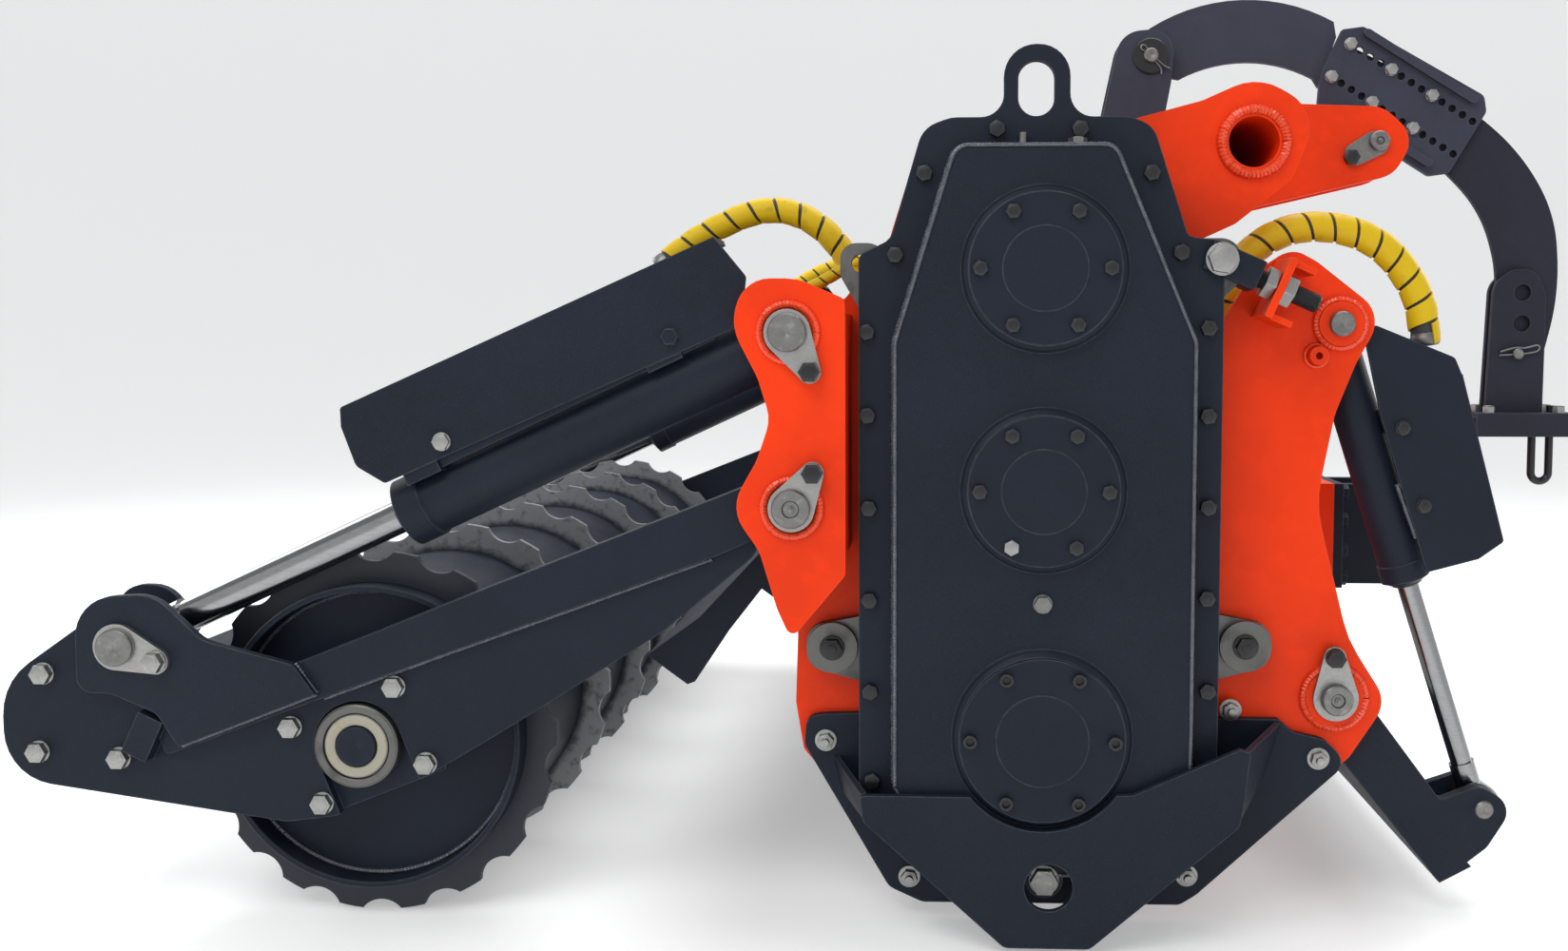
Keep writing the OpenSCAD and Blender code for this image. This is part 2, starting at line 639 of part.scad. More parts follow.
// One spur gear on the axis p with a tooth at the angle phase
module spur_gear(p, teeth, phase, bore) difference() {
    translate([p[0], 0, p[1]]) slab(gear_y0, gear_y0 + gear_w) polygon(gear_points(teeth, phase));
    across(p, bore, gear_y0 - 1, gear_y0 + gear_w + 1);
    r = gear_module * teeth / 2;
    around(p, (r + bore) / 2, 6) across([0, 0], (r - bore) * 0.27, gear_y0 - 1, gear_y0 + gear_w + 1);
}
idler_phase = 270 + 180 / idler_teeth;
idler_offset = idler_phase - 90;
upper_phase = 270 - idler_offset * idler_teeth / upper_teeth + 180 / upper_teeth;

module idler_gear() color(STEEL) at_home() {
    spur_gear(idler_p, idler_teeth, idler_phase, idler_shaft_r);
    across(idler_p, idler_shaft_r, -cover_y - 3, -side_y - 5);
}

bevel_p = [shaft_x, upper_p[1]];
bevel_r = 78;
module upper_shaft() color(STEEL) at_home() {
    spur_gear(upper_p, upper_teeth, upper_phase, upper_shaft_r);
    across(upper_p, upper_shaft_r, -cover_y - 3, bevel_half - 20);
    translate([bevel_p[0], -bevel_r - 1, bevel_p[1]]) rotate([-90, 0, 0]) difference() {
        cylinder(r1 = bevel_r, r2 = bevel_r - 30, h = 30);
        for (i = [0:19]) rotate([0, 0, i * 18]) translate([58, -4, 8]) cube([40, 8, 40]);
    }
}
module input_shaft() color(STEEL) at_home() {
    translate([bevel_p[0], 0, bevel_p[1]]) rotate([0, 90, 0]) {
        translate([0, 0, bevel_r - 29]) difference() {
            cylinder(r1 = bevel_r - 31, r2 = bevel_r - 1, h = 30);
            for (i = [0:19]) rotate([0, 0, 9 + i * 18]) translate([50, -4, -10]) cube([40, 8, 32]);
        }
        translate([0, 0, bevel_r]) cylinder(r = input_base_r, h = shaft_reach - input_end - bevel_r);
        translate([0, 0, shaft_reach - input_end]) cylinder(r = input_shaft_r, h = input_end);
    }
}

module bevel_box() color(CHARCOAL) at_home() {
    difference() {
        union() {
            translate([bevel_p[0] - bevel_half, -bevel_half, bevel_p[1] - bevel_half])
                cube([bevel_half + box_front, 2 * bevel_half, 2 * bevel_half]);
            translate([bevel_p[0] + box_front, 0, bevel_p[1]]) rotate([0, 90, 0]) cylinder(r = 80, h = 60);
        }
        translate([bevel_p[0] - bevel_half + 14, -bevel_half + 14, bevel_p[1] - bevel_half + 14])
            cube([bevel_half + box_front - 28, 2 * bevel_half - 28, 2 * bevel_half - 28]);
        across(bevel_p, upper_shaft_r + run_gap, -bevel_half - 1, bevel_half - 14);
        translate([bevel_p[0], 0, bevel_p[1]]) rotate([0, 90, 0]) cylinder(r = input_base_r + run_gap, h = 300);
    }
    // the two plates that stand the box on the rotor's roof
    difference() {
        for (y = [-bevel_half, bevel_half - 16])
            translate([bevel_p[0] - 110, y, rotor_p[1] + shell_r - 10])
                cube([250, 16, bevel_p[1] - bevel_half - rotor_p[1] - shell_r + 11]);
        across(rotor_p, shell_r + shell_t, -bevel_half - 1, bevel_half + 1);
    }
}

module shaft_tubes() color(CHARCOAL) at_home() {
    difference() {
        across(bevel_p, 75, -inner_y, -bevel_half);
        across(bevel_p, 62, -inner_y - 1, -bevel_half + 1);
    }
    difference() {
        across(bevel_p, 75, bevel_half, inner_y);
        across(bevel_p, 62, bevel_half - 1, inner_y + 1);
    }
}

// ---------- hoses ----------

rear_hose_r = 21;
front_hose_r = 25;
thin_hose_r = 10;
rear_hose_y = inner_y - rear_hose_r;
thin_hose_y = inner_y - thin_hose_r;
front_hose_y = inner_y - front_hose_r - 26;
rear_hose = [[-640, 0, 1080], [-560, 0, 1140], [-450, 0, 1185], [-360, 0, 1150], [-300, 0, 1060], [-270, 0, 960]];
thin_hose = [[-420, 0, 1030], [-370, 0, 1052], [-330, 0, 1076], [-280, 0, 1096], [-230, 0, 1100]];
front_hose = [[250, 0, 930], [300, 0, 1020], [345, 0, 1110], [440, 0, 1155], [560, 0, 1130], [632, 0, 1040], [644, 0, 950]];

module swept(route, r, y) {
    p = softened(softened(route));
    n = len(p);
    sides = 10;
    rings = [for (i = [0:n - 1])
        let (
            a = p[max(i - 1, 0)], b = p[min(i + 1, n - 1)], t = unit(b - a),
            side = [0, 1, 0], up = cross(t, side)
        )
        [for (k = [0:sides - 1]) p[i] + r * (cos(360 * k / sides) * side + sin(360 * k / sides) * up)]];
    points = [for (ring = rings, q = ring) q];
    walls = [for (i = [0:n - 2], k = [0:sides - 1])
        [i * sides + k, i * sides + (k + 1) % sides, (i + 1) * sides + (k + 1) % sides, (i + 1) * sides + k]];
    ends = [[for (k = [sides - 1:-1:0]) k], [for (k = [0:sides - 1]) (n - 1) * sides + k]];
    translate([0, -y, 0]) polyhedron(points, concat(walls, ends));
}
module hoses() color(YELLOW) at_home() both_sides() {
    swept(rear_hose, rear_hose_r, rear_hose_y);
    swept(front_hose, front_hose_r, front_hose_y);
    swept(thin_hose, thin_hose_r, thin_hose_y);
}

// ---------- rear arms ----------

arm_slope = 21.6;
// From the arm's own axes, with +X along its beam, to the machine's
function on_arm(u, v) = roller_p + [u * cos(arm_slope) - v * sin(arm_slope), u * sin(arm_slope) + v * cos(arm_slope)];
function arm_corner(c) = concat(on_arm(c[0], c[1]), [c[2]]);
arm_hub_r = 62;
slot_half = roller_bearing_r + 4;      // half the width of the bearing's slot
bearing_bolts = [[-92, -68], [-92, 68], [95, -68], [95, 68]];

module arm_web() difference() {
    plate(-arm_web_y - web_t, -arm_web_y, concat(
        [[-1240, 166, 60], [-1715, 235, 110], [-1715, 394, 110], [-1582, 487, 20], [-1470, 470, 60]],
        [for (c = [[-220, 150, 0], [740, 150, 0], [740, 58, 40], [540, -8, 120], [250, -62, 60],
            [95, -88, 22], [-80, -96, 20]]) arm_corner(c)]));
    // the slot that the roller's bearing slides into
    plate(-arm_web_y - web_t - 1, -arm_web_y + 1, [for (c = [[-slot_half, slot_half, slot_half],
        [slot_half, slot_half, slot_half], [slot_half, -200, 0], [-slot_half, -200, 0]]) arm_corner(c)]);
    // room for the rod's eye behind the clevis
    across(rod_p, rod_eye_r + 5, -arm_web_y - web_t - 1, -arm_web_y + 1);
}
module arm_beam() difference() {
    union() {
        plate(-arm_out_y, -arm_in_y, [for (c = [[-300, 100, 8], [-300, 163, 8], [800, 163, 8],
            [770, 80, 30], [660, 76, 30], [-20, 94, 8]]) arm_corner(c)]);
        across(arm_p, arm_hub_r, -arm_out_y, -side_y - side_gap);
    }
    across(arm_p, pin_r + run_gap, -arm_out_y - 1, -side_y);
}

clevis_corners = [
    [-1570, 540, 76], [-1440, 548, 70], [-1360, 472, 60], [-1211, 434, 20], [-1176, 385, 0],
    [-1405, 296, 0], [-1440, 352, 30], [-1516, 384, 60], [-1572, 384, 60]];
inner_clevis_y = rear_cyl_y - 44;
module rod_clevis() {
    difference() {
        union() {
            plate(-clevis_y, -arm_out_y, clevis_corners);
            across(rod_p, 52, -arm_out_y, -rear_cyl_y - 33);
        }
        across(rod_p, pin_r, -clevis_y - 1, -rear_cyl_y);
    }
    difference() {
        plate(-inner_clevis_y, -inner_clevis_y + 14, [
            [-1585, 545, 84], [-1442, 545, 60], [-1442, 290, 0], [-1478, 290, 20]]);
        across(rod_p, pin_r, -inner_clevis_y - 1, -inner_clevis_y + 15);
    }
    // the square stub under the clevis
    translate([-1466, 0, 312]) rotate([0, 90 - 65, 0])
        translate([-22, -clevis_y, -36]) cube([44, clevis_y - inner_clevis_y + 2, 72]);
}
// the bolted block that holds the roller's bearing
module bearing_block() difference() {
    plate(-arm_web_y, -arm_web_y + 16, [for (c = [[-118, 96, 10], [118, 96, 10], [118, -92, 10],
        [-118, -92, 10]]) arm_corner(c)]);
    across(roller_p, roller_shaft_r + 6, -arm_web_y - 1, -arm_web_y + 17);
}
module arm_bolts() {
    for (b = bearing_bolts) hex_head(on_arm(b[0], b[1]), arm_web_y + web_t, 30, 13, 0);
    for (p = [[-1643, 410], [-1655, 279], [-1518, 270]]) hex_head(p, arm_web_y + web_t, 30, 13, 0);
}
module rear_arm() {
    arm_web();
    arm_beam();
    rod_clevis();
    bearing_block();
    arm_bolts();
}
module rear_arm_near() color(CHARCOAL) at_home() rear_arm();
module rear_arm_far() color(CHARCOAL) at_home() far_side() rear_arm();

module rear_rod_pins() color(ZINC) at_home() both_sides() {
    across(rod_p, pin_r, -clevis_y - 16, -inner_clevis_y + 20);
    keeper(rod_p, [-1434, 439], clevis_y, 26);
}

roller_shaft_r = 33;
module roller_bearings() color(STEEL) at_home() both_sides() {
    difference() {
        across(roller_p, roller_bearing_r, -arm_out_y + 4, -arm_web_y);
        across(roller_p, roller_bearing_r - 14, -arm_out_y + 3, -arm_out_y + 12);
        across(roller_p, roller_shaft_r + run_gap, -arm_out_y, -arm_web_y + 1);
    }
    difference() {
        across(roller_p, roller_bearing_r - 16, -arm_out_y + 5, -arm_out_y + 12);
        across(roller_p, roller_shaft_r + 2, -arm_out_y + 4, -arm_out_y + 13);
    }
}

// the beam behind the roller that joins both arms
module scraper_beam() color(CHARCOAL) at_home() difference() {
    slab(-arm_web_y, arm_web_y) translate([-1570, 322]) square([90, 96], center = true);
    slab(-arm_web_y + 14, arm_web_y - 14) translate([-1570, 322]) square([74, 80], center = true);
}

// ---------- roller ----------

module roller_drum() color(CHARCOAL) at_home() {
    difference() {
        across(roller_p, drum_r, -drum_y, drum_y);
        across(roller_p, drum_r - 10, -drum_y - 1, -drum_y + 12);
        across(roller_p, drum_r - 10, drum_y - 12, drum_y + 1);
        across(roller_p, drum_r - 10, -drum_y + 26, drum_y - 26);
    }
    both_sides() {
        across(roller_p, roller_shaft_r, -arm_out_y + 2, -drum_y + 12);
        round_weld(roller_p, drum_r - 36, drum_y - 12, 6);
    }
}
ring_pitch = 2 * ring_y / (ring_count - 1);
module roller_rings() color(CHARCOAL) at_home()
    for (i = [0:ring_count - 1]) {
        y = -ring_y + i * ring_pitch;
        difference() {
            across(roller_p, roller_r, y - ring_t / 2, y + ring_t / 2);
            across(roller_p, drum_r, y - ring_t, y + ring_t);
            around(roller_p, roller_r + notch_r * 0.6, notch_count, -90)
                across([0, 0], notch_r, y - ring_t, y + ring_t);
        }
    }
// ---------- rear cylinders ----------

rear_len = norm(rod_p - barrel_p);
rear_tube_end = 700;
rear_tube_bore = 42;
module rear_barrel() along(barrel_p, rod_p) translate([0, -rear_cyl_y, 0]) difference() {
    union() {
        rotate([-90, 0, 0]) translate([0, 0, -54]) cylinder(r = 48, h = 108);
        translate([20, 0, 0]) rotate([0, 90, 0]) cylinder(r = rear_barrel_r - 4, h = rear_tube_end - 60);
        translate([rear_tube_end - 44, 0, 0]) rotate([0, 90, 0]) cylinder(r = rear_barrel_r, h = 44);
    }
    translate([70, 0, 0]) rotate([0, 90, 0]) cylinder(r = rear_tube_bore, h = rear_tube_end - 110);
    translate([80, 0, 0]) rotate([0, 90, 0]) cylinder(r = rear_rod_r + run_gap, h = rear_tube_end);
    rotate([-90, 0, 0]) translate([0, 0, -60]) cylinder(r = pin_r + run_gap, h = 120);
}
module rear_barrels() color(CHARCOAL) at_home() both_sides() rear_barrel();

// the folded cover plate over a rear cylinder
cover_corners = [
    [-1122, 820, 12], [-1123, 851, 6], [-521, 1120, 6], [-470, 1058, 10], [-474, 1022, 6],
    [-493, 975, 4], [-1053, 730, 6], [-1099, 757, 20]];
guard_out_y = rear_cyl_y + rear_barrel_r + 7;
module rear_cylinder_guard() {
    plate(-guard_out_y, -guard_out_y + 6, cover_corners);
    slab(-guard_out_y, -rear_cyl_y + 44) polygon([
        [-1112, 855.5], [-521, 1120], [-518, 1112], [-1109, 847.5]]);
    along(barrel_p, rod_p) difference() {
        for (x = [170, 600]) translate([x, -guard_out_y + 3, -96]) cube([60, 40, 60]);
        translate([0, -rear_cyl_y, 0]) rotate([0, 90, 0]) cylinder(r = rear_barrel_r - 4, h = rear_tube_end);
        translate([rear_tube_end - 44, -rear_cyl_y, 0]) rotate([0, 90, 0]) cylinder(r = rear_barrel_r, h = 44);
    }
    for (p = [[-959, 797], [-591, 964]]) hex_head(p, guard_out_y, 24, 8, 0);
}
module rear_cylinder_guards() color(CHARCOAL) at_home() both_sides() rear_cylinder_guard();

rod_eye_r = 52;
rear_eye_bore = pin_r + 8;
module rear_rod() along(barrel_p, rod_p) translate([0, -rear_cyl_y, 0]) difference() {
    union() {
        translate([580, 0, 0]) rotate([0, 90, 0]) cylinder(r = rear_rod_r, h = rear_len - 620);
        translate([rear_len - 92, 0, 0]) rotate([0, 90, 0]) cylinder(r = 32, h = 50);
        rotate([-90, 0, 0]) translate([rear_len, 0, -29]) cylinder(r = rod_eye_r, h = 58);
    }
    rotate([-90, 0, 0]) translate([rear_len, 0, -60]) cylinder(r = rear_eye_bore, h = 120);
}
module rear_piston() along(barrel_p, rod_p) translate([560, -rear_cyl_y, 0]) rotate([0, 90, 0])
    cylinder(r = rear_tube_bore - run_gap, h = 25);
module rear_rods() color(STEEL) at_home() both_sides() {
    rear_rod();
    rear_piston();
}

// ---------- front hood and cylinders ----------

module hood() color(CHARCOAL) at_home() {
    both_sides() {
        difference() {
            plate(-hood_arm_y, -hood_arm_y + hood_arm_t, [
                [430, 390, 50], [520, 425, 55], [565, 334, 30], [673, 189, 8], [738, 215, 30],
                [795, 180, 38], [752, 109, 30], [679, 50, 6], [614, 142, 0], [517, 252, 20], [440, 320, 50]]);
            across(hood_p, hood_pin_r + run_gap, -hood_arm_y - 1, -hood_arm_y + hood_arm_t + 1);
            across(hood_rod_p, hood_rod_pin_r, -hood_arm_y - 1, -hood_arm_y + hood_arm_t + 1);
        }
        difference() {
            plate(-front_cyl_y + 32, -front_cyl_y + 48, [
                [614, 142, 10], [673, 192, 8], [738, 215, 30], [795, 180, 38], [752, 109, 30], [679, 50, 6]]);
            across(hood_rod_p, hood_rod_pin_r, -front_cyl_y, -front_cyl_y + 60);
        }
        across(hood_rod_p, hood_rod_pin_r, -hood_arm_y - 4, -front_cyl_y + 54);
    }
    slab(-hood_arm_y, hood_arm_y) polygon([[512, 250], [520, 258], [684, 54], [675, 47]]);
    slab(-hood_arm_y, hood_arm_y) polygon([[675, 47], [684, 54], [720, 84], [727, 76]]);
}
hood_rod_pin_r = 15;

front_len = norm(hood_rod_p - front_p);
front_tube_end = 450;
front_tube_bore = 28;
module front_barrel() along(front_p, hood_rod_p) translate([0, -front_cyl_y, 0]) difference() {
    union() {
        rotate([-90, 0, 0]) translate([0, 0, -34]) cylinder(r = 36, h = 68);
        translate([20, 0, 0]) rotate([0, 90, 0]) cylinder(r = front_barrel_r - 2, h = front_tube_end - 40);
        translate([front_tube_end - 30, 0, 0]) rotate([0, 90, 0]) cylinder(r = front_barrel_r, h = 30);
    }
    translate([50, 0, 0]) rotate([0, 90, 0]) cylinder(r = front_tube_bore, h = front_tube_end - 80);
    translate([60, 0, 0]) rotate([0, 90, 0]) cylinder(r = front_rod_r + run_gap, h = front_tube_end);
    rotate([-90, 0, 0]) translate([0, 0, -60]) cylinder(r = front_pin_r + run_gap, h = 120);
}
module front_barrels() color(CHARCOAL) at_home() both_sides() front_barrel();

front_guard_y = inner_y - 3;
module front_cylinder_guard() {
    plate(-front_guard_y, -front_guard_y + 6, [
        [545, 984, 6], [677, 930, 12], [690, 900, 12], [764, 626, 6], [724, 597, 4], [640, 574, 4], [560, 830, 0],
        [533, 952, 10]]);
    slab(-front_guard_y, -front_cyl_y + 50) polygon([[690, 903], [764, 628], [757, 626], [682, 901]]);
    slab(-front_guard_y, -front_cyl_y + 50) polygon([[764, 628], [724, 597], [719, 603], [757, 631]]);
    along(front_p, hood_rod_p) difference() {
        for (x = [160, 330])
            translate([x, -front_guard_y + 4, front_barrel_r - 10]) cube([40, front_guard_y - front_cyl_y - 6, 12]);
        translate([0, -front_cyl_y, 0]) rotate([0, 90, 0]) cylinder(r = front_barrel_r - 2, h = front_tube_end);
    }
    for (p = [[595, 814], [632, 685]]) hex_head(p, front_guard_y, 20, 2.5, 0);
}
module front_cylinder_guards() color(CHARCOAL) at_home() both_sides() front_cylinder_guard();

front_eye_bore = hood_rod_pin_r + 8;
module front_rod() along(front_p, hood_rod_p) translate([0, -front_cyl_y, 0]) difference() {
    union() {
        translate([390, 0, 0]) rotate([0, 90, 0]) cylinder(r = front_rod_r, h = front_len - 420);
        translate([380, 0, 0]) rotate([0, 90, 0]) cylinder(r = front_tube_bore - run_gap, h = 15);
        translate([front_len - 70, 0, 0]) rotate([0, 90, 0]) cylinder(r = 21, h = 40);
        rotate([-90, 0, 0]) translate([front_len, 0, -25]) cylinder(r = 36, h = 50);
    }
    rotate([-90, 0, 0]) translate([front_len, 0, -60]) cylinder(r = front_eye_bore, h = 120);
}
module front_rods() color(STEEL) at_home() both_sides() front_rod();

// ---------- rotor ----------

rotor_half = inner_y - 12;
module rotor() color(CHARCOAL) at_home() {
    difference() {
        across(rotor_p, rotor_drum_r, -rotor_half, rotor_half);
        across(rotor_p, rotor_drum_r - 24, -rotor_half + 30, rotor_half - 30);
    }
    across(rotor_p, rotor_shaft_r, -cover_y - 3, -rotor_half);
    across(rotor_p, rotor_shaft_r, rotor_half, boss_y - 16);
    spur_gear(rotor_p, rotor_teeth, 90, rotor_shaft_r);
}
tool_turn = 77;
tool_pitch = 2 * (rotor_half - 40) / (tool_count - 1);
module rotor_tools() color(STEEL) at_home() difference() {
    for (i = [0:tool_count - 1])
        translate([rotor_p[0], -rotor_half + 40 + i * tool_pitch, rotor_p[1]]) rotate([0, i * tool_turn, 0]) {
            slab(-22, 22) polygon([
                [-48, sqrt(pow(rotor_drum_r, 2) - 48 * 48) - 2], [50, sqrt(pow(rotor_drum_r, 2) - 50 * 50) - 2],
                [30, rotor_drum_r + 62], [-8, rotor_drum_r + 74], [-40, rotor_drum_r + 40]]);
            slab(-20, 20) polygon([
                [-2, rotor_drum_r + 50], [28, rotor_drum_r + 50], [34, rotor_r - 12], [22, rotor_r - 8],
                [4, rotor_r - 44]]);
        }
    across(rotor_p, rotor_drum_r, -rotor_half, rotor_half);
}

// ---------- driveline support arm ----------

module at_stay() translate([0, stay_y, 0]) children();

module arm_bracket() color(CHARCOAL) at_home() at_stay() both_sides() difference() {
    plate(-38, -26, [
        [162, 1250, 20], [202, 1488, 20], [239, 1664, 58], [364, 1674, 58], [355, 1550, 30],
        [338, 1457, 20], [420, 1343, 20], [430, 1236, 30]]);
    across(tube_p, cross_tube_r, -39, -25);
    across(stay_p, stay_pin_r + run_gap, -39, -25);
}
stay_pin_r = 16;
row_dir = -32.3;
row_p = [[764, 1636], [722, 1562]];
hole_count = 13;
function row_hole(row, i) = polar(row_p[row], hole_pitch * i, row_dir);

module hole_rows(y0, y1, from, to) for (row = [0, 1], i = [from:to]) across(row_hole(row, i), hole_r, y0, y1);

arm_half = arm_plate_t / 2;
module support_arm() color(CHARCOAL) at_home() at_stay() {
    difference() {
        slab(-arm_half, arm_half) polygon(concat(
            arc([528, 1327], 414, 122, 61, 14),
            [[735, 1654], [696, 1540]],
            arc([530, 1273], 326, 62, 118, 14),
            arc(stay_p, 52, 215, 150, 5)));
        across(stay_p, stay_pin_r, -20, 20);
    }
    // the adjusting plate with its two guide bars
    difference() {
        plate(-arm_half - 14, -arm_half, [
            [745, 1669, 6], [793, 1675, 14], [1069, 1517, 20], [1075, 1480, 20], [993, 1341, 14],
            [948, 1335, 14], [692, 1498, 14], [697, 1566, 20]]);
        hole_rows(-arm_half - 15, -arm_half + 1, 0, hole_count - 1);
    }
    for (bar = [[[800, 1658], [1040, 1507]], [[745, 1488], [942, 1364]]])
        slab(-arm_half - 30, -arm_half - 14) bar_outline(bar[0], bar[1], 9, 9);
}
module support_bolts() color(ZINC) at_home() at_stay() {
    for (row = [0, 1], i = [0, 4, 8]) {
        hex_head(row_hole(row, i), arm_half + 14, 24, 10);
        across(row_hole(row, i), hole_r, -arm_half - 14, -arm_half);
    }
    across(stay_p, stay_pin_r, -52, 52);
    for (y = [-45, 39]) across(stay_p, 40, y, y + 6);
}

module arm_extension() color(CHARCOAL) at_home() at_stay() difference() {
    plate(-arm_half + slide_gap, arm_half - 1, [
        [756, 1640, 6], [1040, 1486, 30], [1158, 1384, 90], [1238, 1248, 90], [1256, 1064, 120],
        [1212, 877, 50], [1113, 877, 44], [1100, 981, 30], [1117, 1105, 120], [1077, 1250, 120],
        [978, 1359, 60], [717, 1527, 6]]);
    across(foot_p, foot_pin_r + run_gap, -20, 20);
}
foot_pin_r = 12;
foot_y = arm_half + 2;
foot_top = 791;                 // top of the plate below the foot
module arm_foot() color(CHARCOAL) at_home() at_stay() {
    both_sides() difference() {
        plate(-foot_y - 12, -foot_y, [
            [1090, foot_top, 0], [1102, 1089, 50], [1144, 1122, 46], [1195, 1122, 46], [1222, 1064, 50],
            [1220, foot_top, 0]]);
        for (z = [997, 1068]) across([1168, z], 19, -foot_y - 13, -foot_y + 1);
    }
    difference() {
        translate([1060, -60, foot_top - 12]) cube([228, 120, 12 + EPS]);
        for (x = hook_x) translate([x, 0, foot_top - 13]) cylinder(r = hook_r + run_gap, h = 15);
    }
    for (y = [-60, 48]) translate([1060, y, foot_top - 54]) cube([228, 12, 43]);
    across(foot_p, foot_pin_r, -foot_y - 24, foot_y + 24);
    for (x = [1092, 1250], y = [-40, 40]) translate([x, y, foot_top]) cylinder(r = 14, h = 16, $fn = 6);
}
hook_r = 9;
hook_x = [1206, 1246];
hook_z = 650;                   // where the hook's bend starts
module foot_hook() color(ZINC) at_home() at_stay() {
    for (x = hook_x) translate([x, 0, hook_z]) cylinder(r = hook_r, h = foot_top + 16 - hook_z);
    translate([(hook_x[0] + hook_x[1]) / 2, 0, hook_z]) rotate([90, 0, 0])
        rotate_extrude(angle = -180) translate([(hook_x[1] - hook_x[0]) / 2, 0]) circle(hook_r);
}

// ---------- show ----------

side_plate_near();
side_plate_far();
chamber_shell();
front_beam();
lower_plate_near();
lower_plate_far();
guard_near();
guard_far();
cross_tube();
rear_deflector();
top_link_lugs();
top_link_pin();
link_bracket_near();
link_bracket_far();
lower_link_pins();
rear_bracket_near();
rear_bracket_far();
frame_pins();
front_pins();
lock_plates();
plate_bolts();
gearbox_case();
gearbox_cover();
bearing_cover_upper();
bearing_cover_middle();
bearing_cover_lower();
case_bolts();
cover_bolts();
gearbox_fittings();
case_clamps();
far_bearing_cover();
tension_link();
bevel_box();
shaft_tubes();
hoses();
arm_bracket();
rear_arm_near();
rear_arm_far();
rear_rod_pins();
roller_bearings();
scraper_beam();
roller_drum();
roller_rings();
rear_barrels();
rear_cylinder_guards();
rear_rods();
hood();
front_barrels();
front_cylinder_guards();
front_rods();
rotor();
rotor_tools();
idler_gear();
upper_shaft();
input_shaft();
support_arm();
support_bolts();
arm_extension();
arm_foot();
foot_hook();
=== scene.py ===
import json
import math
import random

import bmesh
import bpy
from mathutils import Matrix, Vector


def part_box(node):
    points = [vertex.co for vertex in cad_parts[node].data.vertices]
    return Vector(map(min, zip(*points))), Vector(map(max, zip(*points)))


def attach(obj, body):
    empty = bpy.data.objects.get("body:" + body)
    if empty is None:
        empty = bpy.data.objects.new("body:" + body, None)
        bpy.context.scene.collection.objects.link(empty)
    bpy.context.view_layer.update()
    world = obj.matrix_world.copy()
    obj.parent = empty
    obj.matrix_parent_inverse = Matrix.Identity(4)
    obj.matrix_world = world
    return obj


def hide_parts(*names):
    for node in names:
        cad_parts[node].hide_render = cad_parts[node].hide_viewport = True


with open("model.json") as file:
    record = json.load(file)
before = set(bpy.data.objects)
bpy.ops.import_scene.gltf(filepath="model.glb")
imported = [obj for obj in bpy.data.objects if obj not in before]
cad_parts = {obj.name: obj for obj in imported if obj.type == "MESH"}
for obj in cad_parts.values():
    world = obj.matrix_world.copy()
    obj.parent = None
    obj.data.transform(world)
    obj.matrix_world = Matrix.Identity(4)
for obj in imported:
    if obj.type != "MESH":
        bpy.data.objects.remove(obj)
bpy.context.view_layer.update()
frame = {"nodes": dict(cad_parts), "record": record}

bl_info = {
    "name": "Stump grinder finish",
    "version": (1, 0, 0),
    "blender": (4, 5, 0),
    "location": "3D View > Sidebar > Grinder",
    "description": "Paints, bolts, welds and hoses for a tractor's stump grinder",
    "category": "Object",
}

# Where the drawing's origin lies in the part's frame: below the rotor, 12 mm above the ground
HOME = Vector((0.214, 0.0, 0.012))
MM = 0.001
SLOT_OF = {s["node"]: s["material_slot"] for s in frame["record"]["subparts"]}
SIDES = (("Near", -1), ("Far", 1))
# A bolt head in the CAD model has its corners along X
CAD_TURN = math.pi / 6

# Axes, as [x, z] in millimetres of the drawing
ROTOR, IDLER, UPPER = (-4, 332), (-4, 724), (-4, 1068)
ROLLER = (-1118, 296)
ARM_PIN, BARREL_PIN, ROD_PIN = (-397, 696), (-402, 970), (-1499, 462)
HOOD_PIN, FRONT_PIN, HOOD_ROD_PIN = (487, 368), (485, 985), (745, 174)
TOP_PIN, STAY_PIN, FOOT_PIN = (781, 1391), (307, 1609), (1158, 927)
CROSS_TUBE = (341, 1279)
ARM_SLOPE = math.radians(21.6)
# Outline of the gearbox cover, as [x, z, corner radius]
BOX_CORNERS = [
    [-236, 250, 0], [-236, 955, 30], [-142, 1258, 26], [102, 1258, 26], [229, 955, 30], [229, 250, 0],
    [150, 112, 110], [-158, 112, 110]]
# Levels from the middle plane, in millimetres
SIDE_FACE, BOSS_FACE, COVER_FACE, DRUM_END = 936, 1090, 1080, 958
REAR_CYLINDER, FRONT_CYLINDER = 1003, 860
# Slot in the record and finish of the two kinds of bolt
PLATED, BLACK = ("zinc_plate", "bright_zinc"), ("black_steel", "black_steel")


def spot(x, y, z):
    """A point of the drawing, in millimetres, as a place in the part's frame."""
    return HOME + Vector((x, y, z)) * MM


def middle(node):
    """The middle of a CAD node's box."""
    low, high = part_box(node)
    return (low + high) / 2


# ---------- sizes and colours ----------

def colour_of(name, about, value):
    """A colour that the sidebar can change."""
    return bpy.props.FloatVectorProperty(name=name, description=about, subtype="COLOR", size=3, default=value, min=0,
        max=1)


